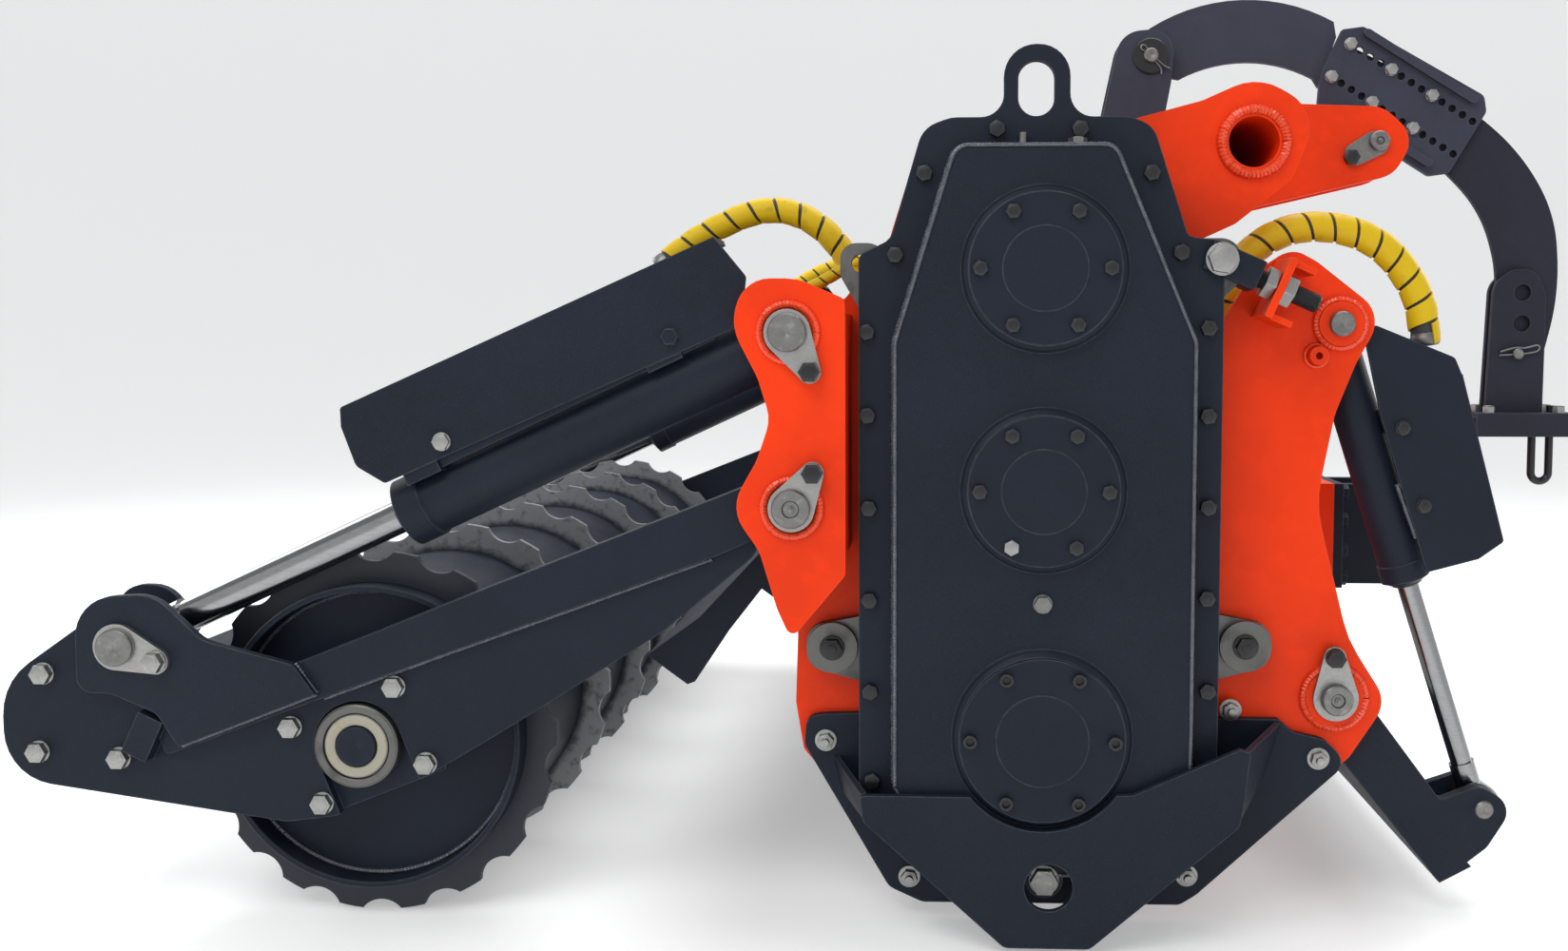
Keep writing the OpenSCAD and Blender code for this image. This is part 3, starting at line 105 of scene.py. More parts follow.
class GrinderColours(bpy.types.PropertyGroup):
    charcoal: colour_of("Charcoal", "Paint of the frame and gearbox", (0.0090, 0.0132, 0.0235))
    orange: colour_of("Orange", "Paint of the side plates and brackets", (0.76, 0.036, 0.0006))
    zinc: colour_of("Zinc", "Plating of the pins and bolts", (0.205, 0.205, 0.200))
    steel: colour_of("Steel", "Bare cut steel", (0.130, 0.130, 0.125))
    oxide: colour_of("Black oxide", "Blackened bolts", (0.0075, 0.0080, 0.0095))
    chrome: colour_of("Chrome", "Plating of the cylinder rods", (0.30, 0.305, 0.31))
    sleeve: colour_of("Hose guard", "Spiral guard around the hoses", (0.64, 0.43, 0.003))
    cream: colour_of("Seal", "Seals of the roller's bearings", (0.36, 0.34, 0.27))
    # Lighter than the charcoal partly as the arm's own paint and partly as painted light from the upper lamp falling on
    # the arm
    slate: colour_of("Slate", "Paint of the support arm", (0.040, 0.045, 0.068))


class GrinderWelds(bpy.types.PropertyGroup):
    ripple: bpy.props.FloatProperty(name="Ripple", description="Distance from one ripple of a bead to the next",
        subtype="DISTANCE", unit="LENGTH", default=0.006, min=0.002, max=0.02)


class GrinderHoses(bpy.types.PropertyGroup):
    pitch: bpy.props.FloatProperty(name="Wrap pitch", description="Length of hose that one turn of the guard covers",
        subtype="DISTANCE", unit="LENGTH", default=0.040, min=0.01, max=0.1)
    cover: bpy.props.FloatProperty(name="Cover", description="Share of each turn that the guard covers",
        subtype="FACTOR", default=0.86, min=0.3, max=0.98)
    wall: bpy.props.FloatProperty(name="Guard wall", description="Thickness of the spiral guard",
        subtype="DISTANCE", unit="LENGTH", default=0.0032, min=0.001, max=0.01)


class GrinderStage(bpy.types.PropertyGroup):
    floor: colour_of("Floor", "Colour of the studio's floor", (0.80, 0.80, 0.80))
    glow: bpy.props.FloatProperty(name="Floor glow", description="Light that the pale floor gives of its own",
        subtype="FACTOR", default=0.34, min=0, max=1)
    reach: bpy.props.FloatProperty(name="Floor radius", description="Radius of the flat floor",
        subtype="DISTANCE", unit="LENGTH", default=9.0, min=5, max=60)
    camera: bpy.props.FloatVectorProperty(name="Camera", description="Place of the camera",
        subtype="TRANSLATION", unit="LENGTH", size=3, default=(0.0651, -3.376, 0.9698))
    pitch: bpy.props.FloatProperty(name="Camera pitch", description="How far the camera looks down",
        subtype="ANGLE", unit="ROTATION", default=math.radians(3.875))
    turn: bpy.props.FloatProperty(name="Camera turn", description="How far the camera looks to the left",
        subtype="ANGLE", unit="ROTATION", default=math.radians(2.58))
    lens: bpy.props.FloatProperty(name="Lens", description="Focal length in millimetres, on a 36 mm sensor",
        default=33.83869, min=10, max=200, precision=3)
    shift: bpy.props.FloatVectorProperty(name="Shift", description="Shift of the view, as a share of its width",
        size=2, default=(-0.06397817, -0.02243784), precision=4)


# ---------- finishes ----------

class Signal:
    """An output socket in a finish's nodes, with its arithmetic written as Python."""

    def __init__(self, finish, socket):
        self.finish = finish
        self.socket = socket

    def math(self, operation, a, b):
        return self.finish.node("ShaderNodeMath", {"operation": operation}, {0: a, 1: b})

    def __add__(self, other):
        return self.math("ADD", self, other)

    def __radd__(self, other):
        return self.math("ADD", other, self)

    def __sub__(self, other):
        return self.math("SUBTRACT", self, other)

    def __rsub__(self, other):
        return self.math("SUBTRACT", other, self)

    def __mul__(self, other):
        return self.math("MULTIPLY", self, other)

    def __rmul__(self, other):
        return self.math("MULTIPLY", other, self)

    def between(self, low, high):
        """0 below low, 1 above high and a smooth rise between them."""
        return self.finish.node("ShaderNodeMapRange", {"interpolation_type": "SMOOTHSTEP"},
            {"Value": self, "From Min": low, "From Max": high})


class Finish:
    """A procedural material for one of the grinder's surfaces."""

    def __init__(self, name):
        self.material = bpy.data.materials.new(name)
        self.material.use_nodes = True
        self.tree = self.material.node_tree
        self.tree.nodes.clear()
        self.place = self.node("ShaderNodeTexCoord", output="Object")

    def node(self, kind, settings=None, sockets=None, output=0):
        """Adds one node: its settings first, then the value or link of each socket."""
        made = self.tree.nodes.new(kind)
        for name, value in (settings or {}).items():
            setattr(made, name, value)
        for name, value in (sockets or {}).items():
            if isinstance(value, Signal):
                self.tree.links.new(value.socket, made.inputs[name])
            else:
                made.inputs[name].default_value = value
        return Signal(self, made.outputs[output])

    def grain(self, scale, detail, stretch=None):
        """Noise of about 1 / scale metres, stretched along an axis where asked."""
        place = self.place
        if stretch:
            place = self.node("ShaderNodeMapping", sockets={"Vector": place, "Scale": stretch})
        return self.node("ShaderNodeTexNoise", sockets={"Vector": place, "Scale": scale, "Detail": detail,
            "Roughness": 0.5})

    def mix(self, share, a, b):
        """Colour a where share is 0 and colour b where it is 1."""
        return self.node("ShaderNodeMix", {"data_type": "RGBA"}, {0: share, 6: a, 7: b}, output=2)

    def edges(self, reach, low=0.02, high=0.25):
        """1 along sharp edges and 0 on flat faces."""
        eased = self.node("ShaderNodeBevel", {"samples": 4}, {"Radius": reach})
        flat = self.node("ShaderNodeNewGeometry", output="True Normal")
        along = self.node("ShaderNodeVectorMath", {"operation": "DOT_PRODUCT"}, {0: eased, 1: flat}, output="Value")
        return (1 - along).between(low, high)

    def facing_up(self):
        """The upward part of the surface's direction, from -1 to 1."""
        return self.node("ShaderNodeSeparateXYZ",
            sockets={0: self.node("ShaderNodeNewGeometry", output="Normal")}, output="Z")

    def relief(self, height, depth, strength, eased=0.0):
        """A bumped normal from a height, over edges eased by a small radius."""
        sockets = {"Height": height, "Distance": depth, "Strength": strength}
        if eased:
            sockets["Normal"] = self.node("ShaderNodeBevel", {"samples": 4}, {"Radius": eased})
        return self.node("ShaderNodeBump", sockets=sockets)

    def close(self, colour, roughness, normal, metallic=0.0, coat=0.0, ior=1.5, glow=0.0):
        """Ends the finish in its surface shader."""
        sockets = {"Base Color": colour, "Roughness": roughness, "Normal": normal, "Metallic": metallic,
            "Coat Weight": coat, "Coat Roughness": 0.2, "IOR": ior}
        if glow:
            sockets.update({"Emission Color": (1.0, 1.0, 1.0, 1.0), "Emission Strength": glow})
        shader = self.node("ShaderNodeBsdfPrincipled", sockets=sockets)
        out = self.tree.nodes.new("ShaderNodeOutputMaterial")
        self.tree.links.new(shader.socket, out.inputs["Surface"])
        return self.material


def rgba(colour, share=1.0):
    """A colour for a socket, made lighter or darker by a share."""
    return tuple(min(1.0, c * share) for c in colour) + (1.0,)


def coat_of_paint(name, colour, wear_and_highlight, highlight_and_speck_tone, rough=0.42, speck=0.0, coat=0.0, ior=1.26):
    """Sprayed paint: fine grain, slow mottling, lighter edges that are partly rubbed paint and partly a painted
    highlight, and dust on top faces.
    """
    f = Finish(name)
    cloudy = f.grain(4, 4)
    blotch = f.grain(38, 3)
    fine = f.grain(620, 2)
    edge_wear_and_highlight = f.edges(0.0040) * (f.grain(60, 3).between(0.30, 0.62) * 0.6 + 0.4)
    shade = f.mix(cloudy.between(0.35, 0.65), rgba(colour, 0.93), rgba(colour, 1.10))
    shade = f.mix(blotch.between(0.45, 0.75) * 0.35, shade, rgba(colour, 1.22))
    if speck:
        shade = f.mix(fine.between(0.55, 0.75) * speck, shade, rgba(highlight_and_speck_tone))
    # Painted highlight: edges lightened toward the edge tone, partly rubbed paint and partly light caught on the eased
    # edges
    shade = f.mix(edge_wear_and_highlight * wear_and_highlight, shade, rgba(highlight_and_speck_tone))
    dust = f.facing_up().between(0.55, 0.98) * f.grain(9, 5).between(0.25, 0.85)
    shade = f.mix(dust * 0.05, shade, (0.32, 0.32, 0.33, 1))
    roughness = rough + blotch * 0.10 + fine * 0.08 + dust * 0.12 - edge_wear_and_highlight * 0.06
    height = fine * 0.5 + f.grain(150, 2) * 0.8
    return f.close(shade, roughness, f.relief(height, 0.00045, 0.55, 0.0016), coat=coat, ior=ior)


def plated(name, colour, rough, flake):
    """Zinc plating with its soft, darker crystal patches and its stains."""
    f = Finish(name)
    patch = f.node("ShaderNodeTexVoronoi", {"feature": "F1"}, {"Vector": f.place, "Scale": flake}, output="Color")
    tone = f.node("ShaderNodeSeparateColor", sockets={0: patch})
    stain = f.grain(70, 4)
    edge_wear_and_highlight = f.edges(0.002)
    shade = f.mix(tone * 0.35, rgba(colour), rgba(colour, 0.72))
    shade = f.mix(stain.between(0.52, 0.75) * 0.55, shade, rgba((0.36, 0.34, 0.31)))
    # Painted highlight: edges lightened by 1.35, partly rubbed plating and partly light caught on the eased edges
    shade = f.mix(edge_wear_and_highlight * 0.5, shade, rgba(colour, 1.35))
    roughness = rough + tone * 0.12 + stain * 0.14
    return f.close(shade, roughness, f.relief(f.grain(420, 2) + stain, 0.0004, 0.5, 0.0010), metallic=0.92)


def bare(name, colour, rough, brushed, wear_and_highlight=0.5):
    """Bare steel with brush marks along one axis and dull patches."""
    f = Finish(name)
    brush = f.grain(330, 2, brushed)
    patch = f.grain(26, 4)
    edge_wear_and_highlight = f.edges(0.0025)
    shade = f.mix(brush * 0.5, rgba(colour, 1.12), rgba(colour, 0.78))
    shade = f.mix(patch.between(0.50, 0.74) * 0.6, shade, rgba(colour, 0.45))
    # Painted highlight: edges lightened by up to 1.8, partly rubbed steel and partly light caught on the eased edges
    shade = f.mix(edge_wear_and_highlight * wear_and_highlight, shade, rgba(colour, 1.8))
    return f.close(shade, rough + patch * 0.22, f.relief(brush + patch * 0.4, 0.0003, 0.5, 0.0010), metallic=0.9)


def oxide(name, colour):
    """Blackened bolts with lighter edges, partly rubbed and partly a painted highlight."""
    f = Finish(name)
    fine = f.grain(500, 2)
    edge_wear_and_highlight = f.edges(0.002, 0.02, 0.2)
    shade = f.mix(fine * 0.6, rgba(colour), rgba(colour, 1.9))
    # Painted highlight: edges pale toward grey, partly rubbed oxide and partly light caught on the bolt's eased rims
    shade = f.mix(edge_wear_and_highlight * 0.45, shade, (0.10, 0.10, 0.11, 1))
    return f.close(shade, 0.27 + fine * 0.14, f.relief(fine, 0.0003, 0.6, 0.0005), ior=1.45)


def chrome(name, colour):
    """Hard chrome with very faint polishing marks."""
    f = Finish(name)
    marks = f.grain(260, 2, (0.2, 1.0, 1.0))
    shade = f.mix(marks.between(0.4, 0.8), rgba(colour), rgba(colour, 0.86))
    return f.close(shade, 0.14 + marks * 0.08, f.relief(marks, 0.00012, 0.4), metallic=1.0)


def sleeve(name, colour):
    """Moulded plastic of the hose guard, a little dirty in patches."""
    f = Finish(name)
    dirt = f.grain(55, 4)
    fine = f.grain(700, 2)
    edge_wear_and_highlight = f.edges(0.002)
    shade = f.mix(f.grain(9, 2), rgba(colour, 0.90), rgba(colour, 1.06))
    shade = f.mix(dirt.between(0.56, 0.78) * 0.5, shade, rgba((0.30, 0.20, 0.015)))
    # Painted highlight: edges lightened by 1.25, partly rubbed plastic and partly light caught on the strip's edges
    shade = f.mix(edge_wear_and_highlight * 0.35, shade, rgba(colour, 1.25))
    return f.close(shade, 0.40 + dirt * 0.18, f.relief(fine + dirt, 0.0003, 0.5, 0.0008), ior=1.34)


def rubber(name, tone=0.018):
    """Black rubber with a fine grain."""
    f = Finish(name)
    fine = f.grain(450, 3)
    shade = f.mix(fine, rgba((tone, tone, tone * 1.05)), rgba((tone * 2.2, tone * 2.2, tone * 2.3)))
    return f.close(shade, 0.58 + fine * 0.15, f.relief(fine, 0.0003, 0.6))


def rings_with_wear_and_glare(name, colour, axis, inner, outer):
    """Painted rings whose rims are rubbed to bare steel around the roller's axis; the pale rims show only on the inner
    rings, partly as wear and partly as a painted reflection of the glare from the back and top.
    """
    f = Finish(name)
    centred = f.node("ShaderNodeVectorMath", {"operation": "SUBTRACT"}, {0: f.place, 1: (axis[0], 0.0, axis[1])})
    flat = f.node("ShaderNodeVectorMath", {"operation": "MULTIPLY"}, {0: centred, 1: (1.0, 0.0, 1.0)})
    radius = f.node("ShaderNodeVectorMath", {"operation": "LENGTH"}, {0: flat}, output="Value")
    patch = f.grain(60, 4)
    fine = f.grain(500, 2)
    rim = (radius + patch * 0.02 - 0.01).between(inner, outer)
    edge_wear_and_highlight = f.edges(0.004)
    across = f.node("ShaderNodeSeparateXYZ", sockets={0: f.place}, output="Y")
    # Painted reflection: only rings inward of the near end get the pale rims, standing in partly for the glare those
    # rings catch
    inner_ring_glare = across.between(-0.90, -0.80) * 0.80
    wear_and_glare = (rim * inner_ring_glare + edge_wear_and_highlight * 0.12) * patch.between(0.15, 0.5)
    shade = f.mix(fine * 0.5, rgba(colour, 0.9), rgba(colour, 1.3))
    shade = f.mix(wear_and_glare, shade, (0.30, 0.31, 0.32, 1))
    roughness = 0.48 - wear_and_glare * 0.10 + fine * 0.1
    return f.close(shade, roughness, f.relief(fine + patch, 0.0004, 0.6, 0.0012), metallic=wear_and_glare * 0.8)


def studio(name, colour, glow):
    """Pale floor with a barely visible grain."""
    f = Finish(name)
    cloudy = f.grain(0.5, 3)
    shade = f.mix(cloudy, rgba(colour, 0.985), rgba(colour, 1.0))
    return f.close(shade, 0.62 + cloudy * 0.05, f.relief(f.grain(60, 2), 0.0002, 0.2), glow=glow)


FINISHES = {}


def mix_finishes():
    """Makes every finish once, from the sidebar's colours."""
    c = bpy.context.scene.grinder_colours
    roller = middle("roller_drum")
    FINISHES.update(
        # The fourth value of each paint is its edge tone: a painted highlight along edges, partly rubbed paint, which
        # the specks also use
        charcoal_paint=coat_of_paint("CharcoalPaint", c.charcoal, 0.65, (0.115, 0.128, 0.152), 0.40, 0.10),
        # Painted highlight: the weld paint is the charcoal made 1.5 times lighter, with a pale edge tone, so the beads
        # read as lit
        weld_paint=coat_of_paint("HighlitCharcoalWeld", tuple(v * 1.5 for v in c.charcoal), 0.8,
            (0.34, 0.36, 0.39), 0.20, 0.0, 0.35, 1.5),
        # Painted light: slate is a lighter charcoal for the lit support arm; the copy at half strength is painted shade
        # for the extension and foot
        slate_paint=coat_of_paint("SlatePaint", c.slate, 0.5, (0.16, 0.17, 0.20), 0.44, 0.08),
        slate_dark=coat_of_paint("SlatePaintInShade", tuple(v * 0.5 for v in c.slate), 0.5, (0.13, 0.14, 0.16), 0.44,
            0.08),
        orange_paint=coat_of_paint("OrangePaint", c.orange, 0.45, (0.86, 0.15, 0.04), 0.36, 0.0, 0.03),
        orange_weld=coat_of_paint("OrangeWeld", c.orange, 0.5, (0.95, 0.22, 0.08), 0.20, 0.0, 0.35, 1.45),
        zinc_plate=plated("ZincPlate", c.zinc, 0.30, 170),
        bright_zinc=plated("BrightZinc", tuple(v * 1.7 for v in c.zinc), 0.26, 240),
        bare_steel=bare("BareSteel", c.steel, 0.34, (1.0, 1.0, 0.12)),
        black_steel=oxide("BlackOxide", c.oxide),
        chrome_rod=chrome("ChromeRod", c.chrome),
        hose_guard=sleeve("HoseGuard", c.sleeve),
        rubber=rubber("HoseRubber"),
        seal=sleeve("BearingSeal", c.cream),
        rings=rings_with_wear_and_glare("RingsWearAndGlare", c.charcoal, (roller.x, roller.z), 0.255, 0.275),
    )


# ---------- shaping ----------

def piece_from(name, bm):
    """Turns a finished bmesh into an object at the origin, smooth but for its sharp edges."""
    bmesh.ops.recalc_face_normals(bm, faces=bm.faces)
    mesh = bpy.data.meshes.new(name)
    bm.to_mesh(mesh)
    bm.free()
    mesh.shade_smooth()
    mesh.set_sharp_from_angle(angle=math.radians(38))
    made = bpy.data.objects.new(name, mesh)
    bpy.context.scene.collection.objects.link(made)
    return made


def made_of(name, bm, finish, body):
    """A piece from a finished bmesh, with its finish and the body it rides on."""
    piece = piece_from(name, bm)
    piece.data.materials.append(FINISHES[finish])
    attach(piece, body)
    return piece


def facing(axis):
    """A turn that carries +Z onto an axis."""
    return Vector((0, 0, 1)).rotation_difference(Vector(axis)).to_matrix().to_4x4()


def disc(bm, at, axis, radius, depth, sides, ease=0.0):
    """A round or many-sided block that stands at a point and rises along an axis, with its far rim eased."""
    place = Matrix.Translation(Vector(at)) @ facing(axis) @ Matrix.Translation((0, 0, depth / 2))
    made = bmesh.ops.create_cone(bm, cap_ends=True, segments=sides, radius1=radius,
        radius2=radius, depth=depth, matrix=place)["verts"]
    if ease:
        tip = Vector(at) + Vector(axis).normalized() * depth
        rim = {e for v in made for e in v.link_edges
            if all(abs((w.co - tip).dot(Vector(axis).normalized())) < 1e-6 for w in e.verts)}
        bmesh.ops.bevel(bm, geom=list(rim), offset=ease, offset_type="OFFSET", affect="EDGES", segments=2,
            profile=0.5, material=-1)


def hexagon(bm, at, axis, across, height, washer, turn, stub=0.0):
    """A bolt head with an eased rim, standing on a washer, with the bolt's end showing where asked."""
    at, axis = Vector(at), Vector(axis).normalized()
    if washer:
        disc(bm, at, axis, washer, 0.003, 28, 0.0007)
        at = at + axis * 0.003
    head = bmesh.new()
    bmesh.ops.create_cone(head, cap_ends=True, segments=6, radius1=across / math.sqrt(3),
        radius2=across / math.sqrt(3), depth=height)
    bmesh.ops.translate(head, verts=head.verts, vec=(0, 0, height / 2))
    bmesh.ops.rotate(head, verts=head.verts, cent=(0, 0, 0), matrix=Matrix.Rotation(turn, 3, "Z"))
    rim = [e for e in head.edges if all(v.co.z > height * 0.9 for v in e.verts)]
    bmesh.ops.bevel(head, geom=rim, offset=height * 0.14, offset_type="OFFSET", affect="EDGES", segments=2,
        profile=0.5, material=-1)
    bmesh.ops.transform(head, matrix=Matrix.Translation(at) @ facing(axis), verts=head.verts)
    join(bm, head)
    disc(bm, at + axis * (height - 0.0002), axis, across * 0.40, 0.0009, 20, 0.0004)
    if stub:
        disc(bm, at + axis * height, axis, across * 0.29, stub, 20, 0.0012)


def join(bm, other):
    """Adds one bmesh to another."""
    scratch = bpy.data.meshes.new("scratch")
    other.to_mesh(scratch)
    other.free()
    bm.from_mesh(scratch)
    bpy.data.meshes.remove(scratch)


def turned(bm, at, axis, profile, steps):
    """A turned shape: the profile's [radius, height] points spun round an axis through a point."""
    shape = bmesh.new()
    points = [shape.verts.new((r, 0, h)) for r, h in profile]
    edges = [shape.edges.new(pair) for pair in zip(points, points[1:])]
    bmesh.ops.spin(shape, geom=points + edges, cent=(0, 0, 0), axis=(0, 0, 1), angle=math.tau, steps=steps,
        use_merge=True)
    bmesh.ops.remove_doubles(shape, verts=shape.verts, dist=1e-6)
    bmesh.ops.transform(shape, matrix=Matrix.Translation(Vector(at)) @ facing(axis), verts=shape.verts)
    bmesh.ops.recalc_face_normals(shape, faces=shape.faces)
    join(bm, shape)


def frames_along(points, closed):
    """Lengths along a route, and for each point its direction and two directions across."""
    count = len(points)
    lengths, frames = [0.0], []
    for a, b in zip(points, points[1:]):
        lengths.append(lengths[-1] + (b - a).length)
    for i, p in enumerate(points):
        before = points[i - 1] if i or closed else p
        after = points[(i + 1) % count] if i < count - 1 or closed else p
        if closed and i == count - 1:
            after = points[1]
        if closed and i == 0:
            before = points[-2]
        frames.append((after - before).normalized())
    return lengths, frames


def softened(points):
    """A route with its corners cut."""
    out = [points[0]]
    for a, b in zip(points, points[1:]):
        out += [a.lerp(b, 0.25), a.lerp(b, 0.75)]
    return out + [points[-1]]


class Route:
    """A smooth way through points, with a side direction that stays near a given one."""

    def __init__(self, points, side, closed=False):
        self.points = [Vector(p) for p in points]
        if closed and (self.points[0] - self.points[-1]).length > 1e-9:
            self.points.append(self.points[0].copy())
        self.closed = closed
        self.side = Vector(side).normalized()
        self.lengths, self.ways = frames_along(self.points, closed)
        self.length = self.lengths[-1]

    def at(self, s):
        """Place, side and up at a length along the route."""
        s = s % self.length if self.closed else min(max(s, 0.0), self.length)
        low, high = 0, len(self.lengths) - 2
        while low < high:
            mid = (low + high + 1) // 2
            if self.lengths[mid] <= s:
                low = mid
            else:
                high = mid - 1
        span = self.lengths[low + 1] - self.lengths[low]
        t = (s - self.lengths[low]) / span if span else 0.0
        place = self.points[low].lerp(self.points[low + 1], t)
        way = self.ways[low].lerp(self.ways[low + 1], t).normalized()
        side = (self.side - way * self.side.dot(way)).normalized()
        return place, side, way.cross(side)


def bend(bm, route):
    """Carries a straight shape along +X onto a route."""
    for v in bm.verts:
        place, side, up = route.at(v.co.x)
        v.co = place + side * v.co.y + up * v.co.z


def tube(route, radius, steps, sides, ripple=None, flat=1.0):
    """A tube along a route. ripple(s) scales its section at each length."""
    bm = bmesh.new()
    bmesh.ops.create_grid(bm, x_segments=steps, y_segments=sides, size=0.5)
    for v in bm.verts:
        s = (v.co.x + 0.5) * route.length
        turn = (v.co.y + 0.5) * math.tau
        r = radius * (ripple(s) if ripple else 1.0)
        v.co = Vector((s, r * math.cos(turn), r * math.sin(turn) * flat))
    bend(bm, route)
    bmesh.ops.remove_doubles(bm, verts=bm.verts, dist=1e-6)
    if not route.closed:
        bmesh.ops.holes_fill(bm, edges=bm.edges, sides=sides + 2)
    return bm


def rounded(corners, steps):
    """A closed outline from [x, z, radius] corners, as [x, z] points."""
    out = []
    count = len(corners)
    for i, (x, z, r) in enumerate(corners):
        b = Vector((x, z))
        a = Vector(corners[i - 1][:2])
        c = Vector(corners[(i + 1) % count][:2])
        if not r:
            out.append(b)
            continue
        u, v = (a - b).normalized(), (c - b).normalized()
        half = u.angle(v) / 2
        reach = min(r / math.tan(half), 0.49 * (a - b).length, 0.49 * (c - b).length)
        centre = b + (u + v).normalized() * (reach / math.cos(half))
        r = reach * math.tan(half)
        start = b + u * reach - centre
        end = b + v * reach - centre
        sweep = start.angle_signed(end)
        for k in range(steps + 1):
            turn = Matrix.Rotation(-sweep * k / steps, 2)
            out.append(centre + turn @ start)
    return out


def outline_at(points, y):
    """Points [x, z] of the drawing as places at a level across the machine."""
    return [spot(p[0], y, p[1]) for p in points]


def circle_at(x, z, radius, y, count):
    """Places around a point of the drawing at a level across the machine."""
    turns = [math.tau * k / count for k in range(count)]
    return [spot(x + radius * math.cos(a), y, z + radius * math.sin(a)) for a in turns]


def islands(node):
    """The separate solids of a CAD node, as their lowest and highest corners."""
    bm = bmesh.new()
    bm.from_mesh(frame["nodes"][node].data)
    bmesh.ops.remove_doubles(bm, verts=bm.verts, dist=1e-5)
    found, seen = [], set()
    for first in bm.verts:
        if first.index in seen:
            continue
        group, todo = [], [first]
        seen.add(first.index)
        while todo:
            v = todo.pop()
            group.append(v.co.copy())
            for e in v.link_edges:
                w = e.other_vert(v)
                if w.index not in seen:
                    seen.add(w.index)
                    todo.append(w)
        found.append((Vector([min(c[i] for c in group) for i in range(3)]),
            Vector([max(c[i] for c in group) for i in range(3)])))
    bm.free()
    return found


def on_side(points, sign):
    """Places of the near side, carried to the far side where the sign is 1."""
    return points if sign < 0 else [Vector((p.x, -p.y, p.z)) for p in points]


# ---------- welds ----------

def bead(name, points, body, radius, seed, slot="charcoal_paint", finish="weld_paint", closed=True):
    """A weld bead along places on a flat face that looks across the machine."""
    w = bpy.context.scene.grinder_welds
    route = Route(points, (0, 1, 0), closed)
    rng = random.Random(seed)
    wobble = [rng.uniform(-1, 1) for _ in range(64)]

    def ripple(s):
        step = s / w.ripple
        own = wobble[int(step) % 64]
        return 1.0 + 0.24 * abs(math.sin(math.pi * step)) + 0.09 * own

    steps = max(24, int(route.length / w.ripple * 3))
    bm = tube(route, radius, steps, 8, ripple, 0.75)
    return made_of(name, bm, finish, body)


class GRINDER_OT_welds(bpy.types.Operator):
    """Lays the weld beads of the gearbox, the pin bosses and the arms"""
    bl_idname = "grinder.lay_welds"
    bl_label = "Lay welds"

    def execute(self, context):
        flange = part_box("gearbox_case")[0].y / MM
        route = rounded(BOX_CORNERS, 8)
        bead("CoverWeld", outline_at(route, flange - 3), "frame", 0.0095, 3)
        bead("CoverEdge", outline_at(route, 1 - COVER_FACE), "frame", 0.0042, 4)
        for k, (name, centre, r) in enumerate((("Upper", UPPER, 122), ("Middle", IDLER, 122), ("Lower", ROTOR, 134))):
            bead(name + "CoverWeld", circle_at(*centre, r, -COVER_FACE, 96), "frame", 0.006, k)
        orange = ("orange_paint", "orange_weld")
        for side, sign in SIDES:
            ring = circle_at(*CROSS_TUBE, 52, -SIDE_FACE, 64)
            bead("TubeWeld" + side, on_side(ring, sign), "frame", 0.010, 9, *orange)
            for k, (place, r, y, radius) in enumerate((
                    (ARM_PIN, 45, BOSS_FACE, 0.0075), (BARREL_PIN, 45, BOSS_FACE, 0.0075),
                    (FRONT_PIN, 39, SIDE_FACE, 0.0075), (HOOD_PIN, 51, SIDE_FACE, 0.0075),
                    ((447, 933), 18, SIDE_FACE, 0.004))):
                ring = circle_at(*place, r, -y, 56)
                bead("BossWeld%d%s" % (k, side), on_side(ring, sign), "frame", radius, k, *orange)
            for name, y, body, radius, seed, path in (
                    ("ArmSeam", 1041, "rear_arms", 0.0048, 12,
                        [on_arm(u, v) for u, v in ((-20, 92), (200, 87), (430, 80), (660, 74))]),
                    ("ClevisEnd", 1053, "rear_arms", 0.0048, 12, [(-1212, 434), (-1196, 410), (-1178, 386)]),
                    ("ClevisSeam", 1053, "rear_arms", 0.0048, 12, [(-1178, 384), (-1290, 340), (-1404, 296)]),
                    ("GuardWeldUpper", 908, "front_barrels", 0.0052, 14, [(559, 846), (574, 802), (588, 758)]),
                    ("GuardWeldLower", 908, "front_barrels", 0.0052, 14, [(590, 720), (606, 676), (623, 631)])):
                seam = on_side([spot(x, -y, z) for x, z in path], sign)
                bead(name + side, seam, body, radius, seed, closed=False)
        return {"FINISHED"}


# ---------- bolts ----------

def on_arm(u, v):
    """A point of the drawing from the rear arm's own axes, whose first runs along its beam."""
    return (ROLLER[0] + u * math.cos(ARM_SLOPE) - v * math.sin(ARM_SLOPE),
        ROLLER[1] + u * math.sin(ARM_SLOPE) + v * math.cos(ARM_SLOPE))


def heads(name, places, level, sign, across, height, slot, finish, body, washer=0.0, stub=0.0, seed=None):
    """Bolt heads on a face that looks across the machine; with a seed, each is turned its own way."""
    rng = random.Random(seed)
    bm = bmesh.new()
    for x, z in places:
        own = CAD_TURN if seed is None else rng.uniform(0, math.tau)
        hexagon(bm, spot(x, sign * level, z), (0, sign, 0), across * MM, height * MM, washer * MM, own, stub * MM)
    return made_of(name, bm, finish, body)


def places_of(node):
    """The bolts of a CAD node: their middles in the drawing, in millimetres, and their inner and outer levels."""
    found = []
    for low, high in islands(node):
        centre = ((low + high) / 2 - HOME) / MM
        levels = sorted((abs(low.y), abs(high.y)))
        found.append((centre.x, centre.z, levels[0] / MM, levels[1] / MM, -1 if low.y + high.y < 0 else 1))
    return found


def near(place, centre, reach):
    """Whether a place of the drawing lies within reach of a centre."""
    return math.hypot(place[0] - centre[0], place[1] - centre[1]) < reach


